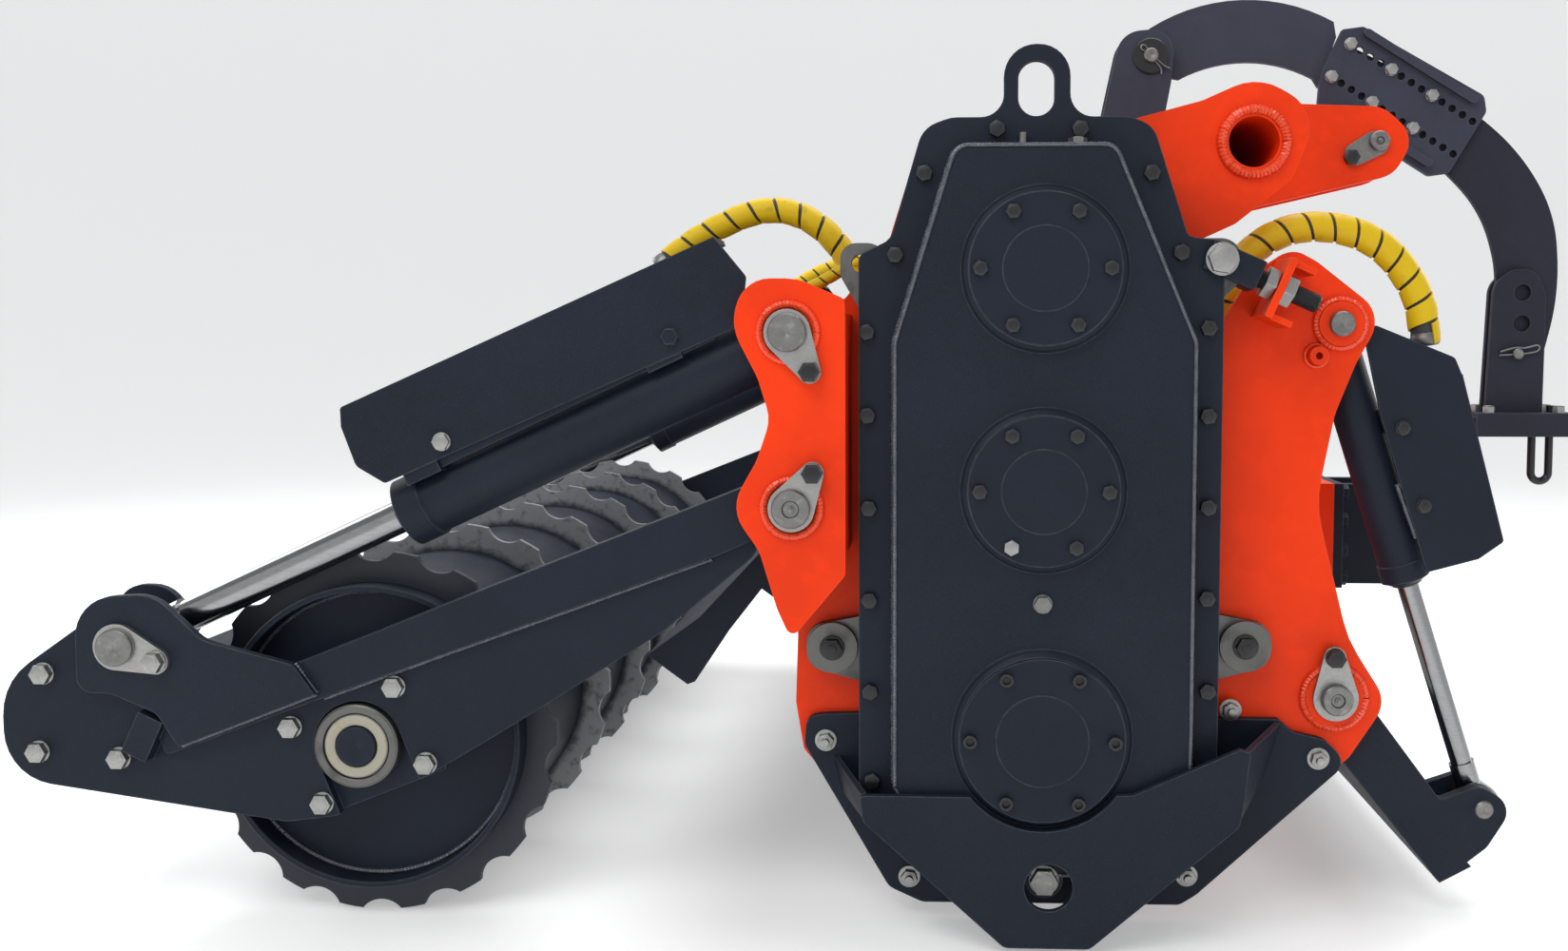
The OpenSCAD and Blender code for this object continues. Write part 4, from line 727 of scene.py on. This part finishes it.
class GRINDER_OT_case_bolts(bpy.types.Operator):
    """Puts the blackened bolts in the gearbox's rim and bearing covers"""
    bl_idname = "grinder.fit_case_bolts"
    bl_label = "Fit case bolts"

    def execute(self, context):
        found = places_of("case_bolts")
        rim = heads("RimBolts", [b[:2] for b in found], found[0][2], -1, 24, 12, "black_steel", "black_steel",
            "frame", seed=5)
        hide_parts("case_bolts")
        covers = places_of("cover_bolts")
        upper = [b for b in covers if not near(b, ROTOR, 150)]
        bright = min(upper, key=lambda b: math.hypot(b[0] - IDLER[0] + 50, b[1] - IDLER[1] + 87))
        dark = heads("CoverBolts", [b[:2] for b in upper if b is not bright], upper[0][2], -1, 22, 9,
            "black_steel", "black_steel", "frame", seed=6)
        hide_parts("cover_bolts")
        heads("CoverBoltSpare", [bright[:2]], bright[2], -1, 22, 9, "zinc_plate", "bright_zinc", "frame", seed=7)
        bm = bmesh.new()
        for b in covers:
            if near(b, ROTOR, 150):
                turned(bm, spot(b[0], -b[2], b[1]), (0, -1, 0), [(0, 0.0045), (0.0058, 0.0045), (0.0062, 0.0112),
                    (0.0070, 0.0120), (0.0100, 0.0120), (0.0110, 0.0110), (0.0110, 0.0), (0, 0.0)], 24)
        made_of("SocketBolts", bm, "black_steel", "frame")
        return {"FINISHED"}


class GRINDER_OT_frame_bolts(bpy.types.Operator):
    """Puts the plated bolts in the plates, keepers and arms"""
    bl_idname = "grinder.fit_frame_bolts"
    bl_label = "Fit frame bolts"

    def execute(self, context):
        found = places_of("plate_bolts")
        for side, sign in SIDES:
            own = [b for b in found if b[4] == sign]
            plated_ones = heads("PlateBolts" + side, [b[:2] for b in own], own[0][2], sign, 25, 12, "zinc_plate",
                "bright_zinc", "frame", 18.5, 9, seed=11)
            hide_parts("plate_bolts")
            arm = [on_arm(u, v) for u, v in ((-92, -68), (-92, 68), (95, -68), (95, 68))]
            arm += [(-1643, 410), (-1655, 279), (-1518, 270)]
            for name, places, level, across, height, look, body, washer in (
                    ("ArmBolts", arm, 1040, 30.8, 12, PLATED, "rear_arms", 18.5),
                    ("RodKeeperBolt", [(-1434, 439)], 1076.3, 30.8, 13.4, PLATED, "rear_arms", 18.5),
                    ("KeeperBolts", [(-367, 909), (-363, 752)], 1106.3, 30.8, 13.1, BLACK, "frame", 0),
                    ("HoodKeeperBolt", [(484, 437)], 951.3, 27.8, 12.4, BLACK, "frame", 16.3),
                    ("GuardBolt", [(-959, 797)], 1067, 24.8, 6.2, PLATED, "rear_barrels", 15)):
                heads(name + side, places, level, sign, across, height, *look, body, washer)
        heads("ClampBolts", [(-344, 449), (335, 457)], 966, -1, 30.8, 13.5, *BLACK, "frame", 21, 3)
        heads("OilPlug", [(-4, 546)], 1080.3, -1, 24.8, 12.2, *PLATED, "frame")
        heads("DrainPlug", [(1, 104)], 1080.3, -1, 38.8, 14.2, "zinc_plate", "zinc_plate", "frame", 24.2)
        for side, sign in SIDES:
            heads("FrontGuardBolts" + side, [(595, 814), (632, 685)], 916, sign, 20.8, 6, *BLACK, "front_barrels", 12.5)
        heads("TopKeeperBolt", [(722, 1356)], 86, -1, 30.8, 12.4, *BLACK, "frame")
        slope = math.radians(-32.3)
        rows = [(x + 27.6 * i * math.cos(slope), z + 27.6 * i * math.sin(slope))
            for x, z in ((764, 1636), (722, 1562)) for i in (0, 4, 8)]
        heads("ArmRowBolts", rows, -101, -1, 24.6, 8.6, *PLATED, "support_arm", 14.5)
        bm = bmesh.new()
        for x in (1092, 1250):
            for y in (82, 162):
                hexagon(bm, spot(x, y, 791), (0, 0, 1), 0.0248, 0.0165, 0.0, CAD_TURN)
        made_of("FootBolts", bm, "bright_zinc", "arm_foot")
        return {"FINISHED"}


# ---------- tension link ----------

LINK = spot(272, 0, 1084)
LINK_SLOPE = math.radians(24)


def block(bm, low, high, ease=0.0015):
    """A square block between two corners, with eased edges."""
    own = bmesh.new()
    low, high = Vector(low), Vector(high)
    bmesh.ops.create_cube(own, size=1.0)
    bmesh.ops.scale(own, vec=high - low, verts=own.verts)
    bmesh.ops.translate(own, vec=(low + high) / 2, verts=own.verts)
    bmesh.ops.bevel(own, geom=list(own.edges), offset=ease, offset_type="OFFSET", affect="EDGES", segments=2,
        profile=0.5, material=-1)
    join(bm, own)


class GRINDER_OT_tension(bpy.types.Operator):
    """Builds the clevis, screw and nuts that draw the gearbox tight"""
    bl_idname = "grinder.build_tension_link"
    bl_label = "Build tension link"

    def execute(self, context):
        place = Matrix.Translation(LINK) @ Matrix.Rotation(LINK_SLOPE, 4, "Y")
        clevis = bmesh.new()
        for low, high in (((-22, -1052, -24), (66, -1040.6, 24)), ((-22, -1012.4, -24), (66, -984, 24)),
                ((46, -1041, -24), (66, -1012, 24))):
            block(clevis, [v * MM for v in low], [v * MM for v in high])
        bmesh.ops.transform(clevis, matrix=place, verts=clevis.verts)
        body = made_of("TensionClevis", clevis, "charcoal_paint", "frame")
        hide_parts("tension_link")
        way = place.to_3x3() @ Vector((1, 0, 0))
        screw = bmesh.new()
        ridges = [(0.0138 + 0.0016 * (k % 2), 0.060 + 0.00125 * k) for k in range(89)]
        turned(screw, place @ Vector((0, -1.018, 0)), way, [(0, 0.058)] + ridges + [(0.0125, 0.172), (0, 0.172)], 28)
        made_of("TensionScrew", screw, "black_steel", "frame")
        nuts = bmesh.new()
        for start in (0.079, 0.1103):
            hexagon(nuts, place @ Vector((start, -1.018, 0)), way, 0.0468, 0.018, 0.0, 0.2)
        hexagon(nuts, spot(272, -1052, 1084), (0, -1, 0), 0.0420, 0.014, 0.026, 0.35)
        disc(nuts, spot(272, -1052.5, 1084), (0, 1, 0), 0.0119, 0.068, 24)
        made_of("TensionNuts", nuts, "bright_zinc", "frame")
        return {"FINISHED"}


# ---------- pins ----------

def pin_cap(bm, at, axis, radius, back, dish, rise):
    """The turned end of a pin with its eased rim and centre mark, or dished round a grease nipple."""
    at, axis = Vector(at), Vector(axis)
    rim = 0.0022
    if dish:
        turned(bm, at, axis, [(0, 0.0005), (dish, 0.0005), (dish + 0.002, rise), (radius - rim, rise),
            (radius, rise - rim), (radius, -back)], 48)
        disc(bm, at + axis * 0.0005, axis, 0.0055, 0.004, 6, 0.0005)
        disc(bm, at + axis * 0.0045, axis, 0.0032, 0.0035, 16, 0.0012)
    else:
        turned(bm, at, axis, [(0, rise - 0.0013), (0.0020, rise - 0.0013), (0.0040, rise), (radius - rim, rise),
            (radius, rise - rim), (radius, -back)], 48)


def wire(name, points, radius, finish, body):
    """A bent wire through places, eased at its corners."""
    points = softened(softened(points))
    bm = tube(Route(points, (0, 1, 0)), radius, len(points) * 2, 8)
    return made_of(name, bm, finish, body)


class GRINDER_OT_pins(bpy.types.Operator):
    """Turns the ends of the pins and fits their clips"""
    bl_idname = "grinder.turn_pins"
    bl_label = "Turn pins"

    def execute(self, context):
        for side, sign in SIDES:
            for name, place, level, radius, back, dish, rise, body in (
                    ("BarrelPinCap", BARREL_PIN, 1109, 30.4, 10, 0, 2.2, "frame"),
                    ("ArmPinCap", ARM_PIN, 1109, 30.4, 10, 12, 4.4, "frame"),
                    ("HoodPinCap", HOOD_PIN, 962, 25.4, 10, 10, 4.0, "frame"),
                    ("FrontPinCap", FRONT_PIN, 954, 20.4, 8, 0, 1.6, "frame"),
                    ("RodPinCap", ROD_PIN, 1083, 30.4, 5, 0, 2.2, "rear_arms"),
                    ("HoodRodPinCap", HOOD_ROD_PIN, 916, 15.4, 3.5, 0, 1.6, "hood")):
                bm = bmesh.new()
                pin_cap(bm, spot(place[0], sign * level, place[1]), (0, sign, 0), radius * MM, back * MM, dish * MM,
                    rise * MM)
                made_of(name + side, bm, "zinc_plate", body)
        for name, place, level, radius, back, dish, body in (
                ("TopPinCap", TOP_PIN, -94, 21.4, 7, 7, "frame"),
                ("StayPinCap", STAY_PIN, 70, 16.4, 6, 0, "support_arm"),
                ("FootPinCap", FOOT_PIN, 89, 12.4, 8, 0, "arm_foot")):
            bm = bmesh.new()
            pin_cap(bm, spot(place[0], level, place[1]), (0, -1, 0), radius * MM, back * MM, dish * MM, 0.003)
            made_of(name, bm, "zinc_plate", body)
        bm = bmesh.new()
        turned(bm, spot(307, 77, 1609), (0, -1, 0), [(0.0168, 0.0), (0.0168, 0.0012), (0.0385, 0.0012),
            (0.0404, -0.0004), (0.0404, -0.0062)], 48)
        made_of("StayWasher", bm, "black_steel", "support_arm")
        split = [(52, 9), (36, 3), (-14, 2.4), (-24, 7), (-33, 0), (-24, -7), (-14, -2.4), (36, -3), (46, -13)]
        wire("SplitPin", [spot(307 + 0.72 * (u + v), 73.6, 1609 - 0.72 * (u - v)) for u, v in split], 0.0021,
            "zinc_plate", "support_arm")
        clip = [(-42, -3), (0, -1), (40, 4), (50, 12), (44, 21), (32, 18), (14, 13), (0, 15), (-14, 13), (-40, 5)]
        wire("SpringClip", [spot(1158 + u, 92.5 - max(0.0, v - 12) * 0.6, 927 + v) for u, v in clip], 0.0021,
            "zinc_plate", "arm_foot")
        return {"FINISHED"}


class GRINDER_OT_guard_strips(bpy.types.Operator):
    """Closes the seam between the rear barrels and their cover plates"""
    bl_idname = "grinder.fit_guard_strips"
    bl_label = "Fit guard strips"

    def execute(self, context):
        slope = math.atan2(BARREL_PIN[1] - ROD_PIN[1], BARREL_PIN[0] - ROD_PIN[0])
        for side, sign in SIDES:
            pivot = spot(BARREL_PIN[0], sign * REAR_CYLINDER, BARREL_PIN[1])
            place = Matrix.Translation(pivot) @ Matrix.Rotation(-slope, 4, "Y")
            bm = bmesh.new()
            levels = sorted((sign * 0.036, sign * 0.056))
            block(bm, (-0.640, levels[0], 0.040), (-0.110, levels[1], 0.078))
            bmesh.ops.transform(bm, matrix=place, verts=bm.verts)
            made_of("GuardStrip" + side, bm, "charcoal_paint", "rear_barrels")
        return {"FINISHED"}


class GRINDER_OT_drum(bpy.types.Operator):
    """Turns the roller's drum with its deep end plates and stub shafts"""
    bl_idname = "grinder.turn_drum"
    bl_label = "Turn drum"

    def execute(self, context):
        half = [(0, 1.0495), (0.0318, 1.0495), (0.0330, 1.0483), (0.0330, DRUM_END * MM), (0.2455, DRUM_END * MM),
            (0.2455, 0.9965), (0.2470, 0.998), (0.2545, 0.998), (0.2560, 0.9965)]
        bm = bmesh.new()
        turned(bm, spot(ROLLER[0], 0, ROLLER[1]), (0, 1, 0), half + [(r, -h) for r, h in reversed(half)], 96)
        drum = made_of("RollerDrum", bm, "charcoal_paint", "roller")
        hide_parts("roller_drum")
        for side, sign in SIDES:
            for name, r, radius in (("DrumWeld", 241, 0.0055), ("ShaftWeld", 36, 0.006)):
                bead(name + side, circle_at(*ROLLER, r, sign * DRUM_END, 96), "roller", radius, 21)
        return {"FINISHED"}


class GRINDER_OT_extension(bpy.types.Operator):
    """Cuts the support arm's sliding extension from a curved plate"""
    bl_idname = "grinder.cut_extension"
    bl_label = "Cut extension"

    def execute(self, context):
        low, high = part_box("arm_extension")
        outline = rounded([[756, 1640, 6], [1044, 1491, 600], [1161, 1387, 600], [1242, 1250, 600],
            [1257, 1064, 600], [1212, 877, 50], [1113, 877, 44], [1099, 981, 600], [1118, 1105, 600],
            [1078, 1251, 600], [979, 1360, 600], [717, 1527, 6]], 10)
        bm = bmesh.new()
        for loop in ([spot(p.x, 0, p.y) for p in outline], circle_at(*FOOT_PIN, 12.6, 0, 32)):
            corners = [bm.verts.new((p.x, low.y, p.z)) for p in loop]
            for a, b in zip(corners, corners[1:] + corners[:1]):
                bm.edges.new((a, b))
        bmesh.ops.triangle_fill(bm, use_beauty=True, use_dissolve=False, edges=bm.edges)
        walls = bmesh.ops.extrude_face_region(bm, geom=list(bm.faces) + list(bm.edges) + list(bm.verts),
            use_keep_orig=True)
        bmesh.ops.translate(bm, vec=(0, high.y - low.y, 0),
            verts=[v for v in walls["geom"] if isinstance(v, bmesh.types.BMVert)])
        plate = made_of("ArmExtension", bm, "slate_dark", "arm_extension")
        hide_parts("arm_extension")
        return {"FINISHED"}


class GRINDER_OT_roller_ends(bpy.types.Operator):
    """Fits the seals of the roller's bearings and the shaft's end faces"""
    bl_idname = "grinder.fit_roller_ends"
    bl_label = "Fit roller ends"

    def execute(self, context):
        for side, sign in SIDES:
            bm = bmesh.new()
            turned(bm, spot(ROLLER[0], sign * 1047, ROLLER[1]), (0, sign, 0), [(0.0352, 0.0), (0.0352, 0.0006),
                (0.0368, 0.0016), (0.0500, 0.0016), (0.0516, 0.0002), (0.0516, -0.002)], 64)
            made_of("BearingSeal" + side, bm, "seal", "rear_arms")
            bm = bmesh.new()
            turned(bm, spot(ROLLER[0], sign * 1048, ROLLER[1]), (0, sign, 0), [(0.0550, -0.004), (0.0550, 0.0008),
                (0.0562, 0.0018), (0.0660, 0.0018), (0.0693, -0.0010), (0.0693, -0.008)], 64)
            made_of("BearingRing" + side, bm, "bare_steel", "rear_arms")
            bm = bmesh.new()
            turned(bm, spot(ROLLER[0], sign * 1050, ROLLER[1]), (0, sign, 0), [(0, 0.0004), (0.0035, 0.0004),
                (0.0060, 0.0020), (0.0305, 0.0020), (0.0330, -0.0004), (0.0330, -0.002)], 48)
            made_of("ShaftEnd" + side, bm, "charcoal_paint", "roller")
        return {"FINISHED"}


class GRINDER_OT_wipers(bpy.types.Operator):
    """Fits the glands and wipers where the rods leave their cylinders"""
    bl_idname = "grinder.fit_wipers"
    bl_label = "Fit wipers"

    def execute(self, context):
        for side, sign in SIDES:
            for name, start, end, level, reach, rod, outer, body in (
                    ("RearWiper", BARREL_PIN, ROD_PIN, REAR_CYLINDER, 700, 27.3, 50, "rear_barrels"),
                    ("FrontWiper", FRONT_PIN, HOOD_ROD_PIN, FRONT_CYLINDER, 450, 17.8, 34, "front_barrels")):
                at, to = spot(start[0], sign * level, start[1]), spot(end[0], sign * level, end[1])
                way = (to - at).normalized()
                bm = bmesh.new()
                rod, outer = rod * MM, outer * MM
                turned(bm, at + way * reach * MM, way, [(rod, -0.004), (rod, 0.010), (rod + 0.003, 0.012),
                    (rod + 0.007, 0.010), (rod + 0.009, 0.005), (outer - 0.003, 0.005), (outer, 0.002),
                    (outer, -0.004)], 48)
                made_of(name + side, bm, "black_steel", body)
        return {"FINISHED"}


# ---------- hoses ----------

HOSES = (
    ("RearHose", 0.021, 0.898, ((-640, 1080), (-560, 1140), (-450, 1185), (-360, 1150), (-300, 1060), (-270, 960))),
    ("FrontHose", 0.025, 0.868, ((250, 930), (300, 1020), (345, 1110), (440, 1155), (560, 1130), (632, 1040),
        (644, 950))),
    ("ThinHose", 0.010, 0.909, ((-420, 1030), (-370, 1052), (-330, 1076), (-280, 1096), (-230, 1100))),
)


def spiral(route, radius, wall, pitch, cover, steps=20):
    """A flat strip wound round a route."""
    bm = bmesh.new()
    turns = (route.length - pitch * cover) / pitch
    bmesh.ops.create_grid(bm, x_segments=3, y_segments=1, size=0.5)
    for v in bm.verts:
        v.co = Vector(((v.co.x + 0.5) * pitch * cover, 0, radius + (v.co.y - 0.5) * wall
            + (0.0 if abs(v.co.x) > 0.4 else 0.0006)))
    count = int(turns * steps)
    bmesh.ops.spin(bm, geom=list(bm.verts) + list(bm.edges) + list(bm.faces), cent=(0, 0, 0), axis=(1, 0, 0),
        dvec=(pitch / steps, 0, 0), angle=math.tau * count / steps, steps=count)
    bmesh.ops.remove_doubles(bm, verts=bm.verts, dist=1e-6)
    bend(bm, route)
    return bm


class GRINDER_OT_hoses(bpy.types.Operator):
    """Lays the hydraulic hoses with their spiral guards and end fittings"""
    bl_idname = "grinder.lay_hoses"
    bl_label = "Lay hoses"

    def execute(self, context):
        h = context.scene.grinder_hoses
        for side, sign in SIDES:
            for name, radius, level, corners in HOSES:
                line = softened(softened([spot(x, sign * level / MM, z) for x, z in corners]))
                route = Route(line, (0, sign, 0))
                inner = radius - h.wall
                bm = tube(route, inner, 72, 16)
                hose = made_of(name + side, bm, "rubber", "frame")
                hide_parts("hoses")
                wrap = spiral(route, radius, h.wall, h.pitch * (1.0 if radius > 0.015 else 0.6), h.cover)
                strip = made_of(name + "Guard" + side, wrap, "hose_guard", "frame")
                ends = bmesh.new()
                for at, way in ((line[0], line[1] - line[0]), (line[-1], line[-2] - line[-1])):
                    way = way.normalized()
                    turned(ends, at - way * 0.001, way, [(0, 0), (inner * 0.9, 0), (inner * 1.02, 0.002),
                        (inner * 1.08, 0.004), (inner * 1.08, 0.016), (inner * 1.02, 0.018), (inner * 1.02, 0.022),
                        (inner * 0.8, 0.023)], 24)
                fitting = made_of(name + "Fittings" + side, ends, "zinc_plate", "frame")
        return {"FINISHED"}


# ---------- stage ----------

class GRINDER_OT_stage(bpy.types.Operator):
    """Sets the floor, the soft lights and the camera"""
    bl_idname = "grinder.set_stage"
    bl_label = "Set stage"

    def execute(self, context):
        scene = context.scene
        s = scene.grinder_stage
        bm = bmesh.new()
        rim = [(0.0, 0.0), (s.reach, 0.0)] + [
            (s.reach + 12 * math.sin(a), 12 - 12 * math.cos(a)) for a in [math.radians(9 * k) for k in range(1, 11)]]
        points = [bm.verts.new((r, 0, h)) for r, h in rim]
        edges = [bm.edges.new(pair) for pair in zip(points, points[1:])]
        bmesh.ops.spin(bm, geom=points + edges, cent=(0, 0, 0), axis=(0, 0, 1), angle=math.tau, steps=64,
            use_merge=True)
        bmesh.ops.remove_doubles(bm, verts=bm.verts, dist=1e-5)
        floor = piece_from("StudioFloor", bm)
        floor.data.materials.append(studio("StudioFloor", s.floor, s.glow))

        world = scene.world or bpy.data.worlds.new("Studio")
        scene.world = world
        world.use_nodes = True
        back = world.node_tree.nodes["Background"]
        back.inputs["Color"].default_value = (0.96, 0.98, 1.0, 1)
        back.inputs["Strength"].default_value = 0.40

        for name, place, aim, size, power in (
                ("KeyLight", (-1.8, -4.4, 5.0), (0, 0, 0.7), (4.0, 2.4), 150),
                ("TopLight", (0.4, 0.9, 5.4), (0, 0, 0.5), (6.0, 3.5), 260),
                ("RimLight", (4.8, 2.2, 3.0), (0, 0, 0.8), (2.6, 2.6), 90),
                ("LeftLight", (-5.2, 1.8, 3.2), (0, 0, 0.6), (2.6, 2.6), 90)):
            light = bpy.data.lights.new(name, "AREA")
            light.shape = "RECTANGLE"
            light.size, light.size_y = size
            light.energy = power
            lamp = bpy.data.objects.new(name, light)
            scene.collection.objects.link(lamp)
            lamp.location = place
            lamp.rotation_euler = (Vector(aim) - Vector(place)).to_track_quat("-Z", "Y").to_euler()

        eye = bpy.data.cameras.new("Camera")
        eye.sensor_width = 36.0
        eye.lens = s.lens
        eye.shift_x, eye.shift_y = s.shift
        eye.clip_end = 200
        camera = bpy.data.objects.new("Camera", eye)
        scene.collection.objects.link(camera)
        camera.location = s.camera
        camera.rotation_euler = (math.pi / 2 - s.pitch, 0.0, s.turn)
        scene.camera = camera
        scene.view_settings.view_transform = "Standard"
        return {"FINISHED"}


class GRINDER_OT_paint(bpy.types.Operator):
    """Gives every CAD node its finish"""
    bl_idname = "grinder.paint_frame"
    bl_label = "Paint frame"

    def execute(self, context):
        mix_finishes()
        own = {"roller_rings": "rings", "lock_plates": "bright_zinc", "rear_rod_pins": "bright_zinc",
            "foot_hook": "black_steel", "support_arm": "slate_paint", "arm_bracket": "slate_paint",
            "arm_foot": "slate_dark"}
        for name, node in frame["nodes"].items():
            finish = FINISHES[own.get(name, SLOT_OF[name])]
            for slot in node.material_slots:
                slot.material = finish
            if not node.material_slots:
                raise RuntimeError(f"{name} has no material slot")
        return {"FINISHED"}


STEPS = (GRINDER_OT_paint, GRINDER_OT_hoses, GRINDER_OT_case_bolts, GRINDER_OT_frame_bolts, GRINDER_OT_tension,
    GRINDER_OT_pins, GRINDER_OT_guard_strips, GRINDER_OT_drum, GRINDER_OT_extension, GRINDER_OT_roller_ends,
    GRINDER_OT_wipers, GRINDER_OT_welds, GRINDER_OT_stage)
GROUPS = (GrinderColours, GrinderWelds, GrinderHoses, GrinderStage)


class GRINDER_PT_panel(bpy.types.Panel):
    """The grinder's steps and sizes"""
    bl_label = "Stump grinder"
    bl_idname = "GRINDER_PT_panel"
    bl_space_type = "VIEW_3D"
    bl_region_type = "UI"
    bl_category = "Grinder"

    def draw(self, context):
        for step in STEPS:
            self.layout.operator(step.bl_idname)
        for group in ("grinder_colours", "grinder_welds", "grinder_hoses", "grinder_stage"):
            box = self.layout.box()
            values = getattr(context.scene, group)
            for name in values.__annotations__:
                box.prop(values, name)


def register():
    for group in GROUPS + STEPS + (GRINDER_PT_panel,):
        bpy.utils.register_class(group)
    bpy.types.Scene.grinder_colours = bpy.props.PointerProperty(type=GrinderColours)
    bpy.types.Scene.grinder_welds = bpy.props.PointerProperty(type=GrinderWelds)
    bpy.types.Scene.grinder_hoses = bpy.props.PointerProperty(type=GrinderHoses)
    bpy.types.Scene.grinder_stage = bpy.props.PointerProperty(type=GrinderStage)


def unregister():
    for name in ("grinder_colours", "grinder_welds", "grinder_hoses", "grinder_stage"):
        delattr(bpy.types.Scene, name)
    for group in reversed(GROUPS + STEPS + (GRINDER_PT_panel,)):
        bpy.utils.unregister_class(group)


def main():
    register()
    for step in STEPS:
        group, name = step.bl_idname.split(".")
        getattr(getattr(bpy.ops, group), name)()


if __name__ == "__main__":
    main()
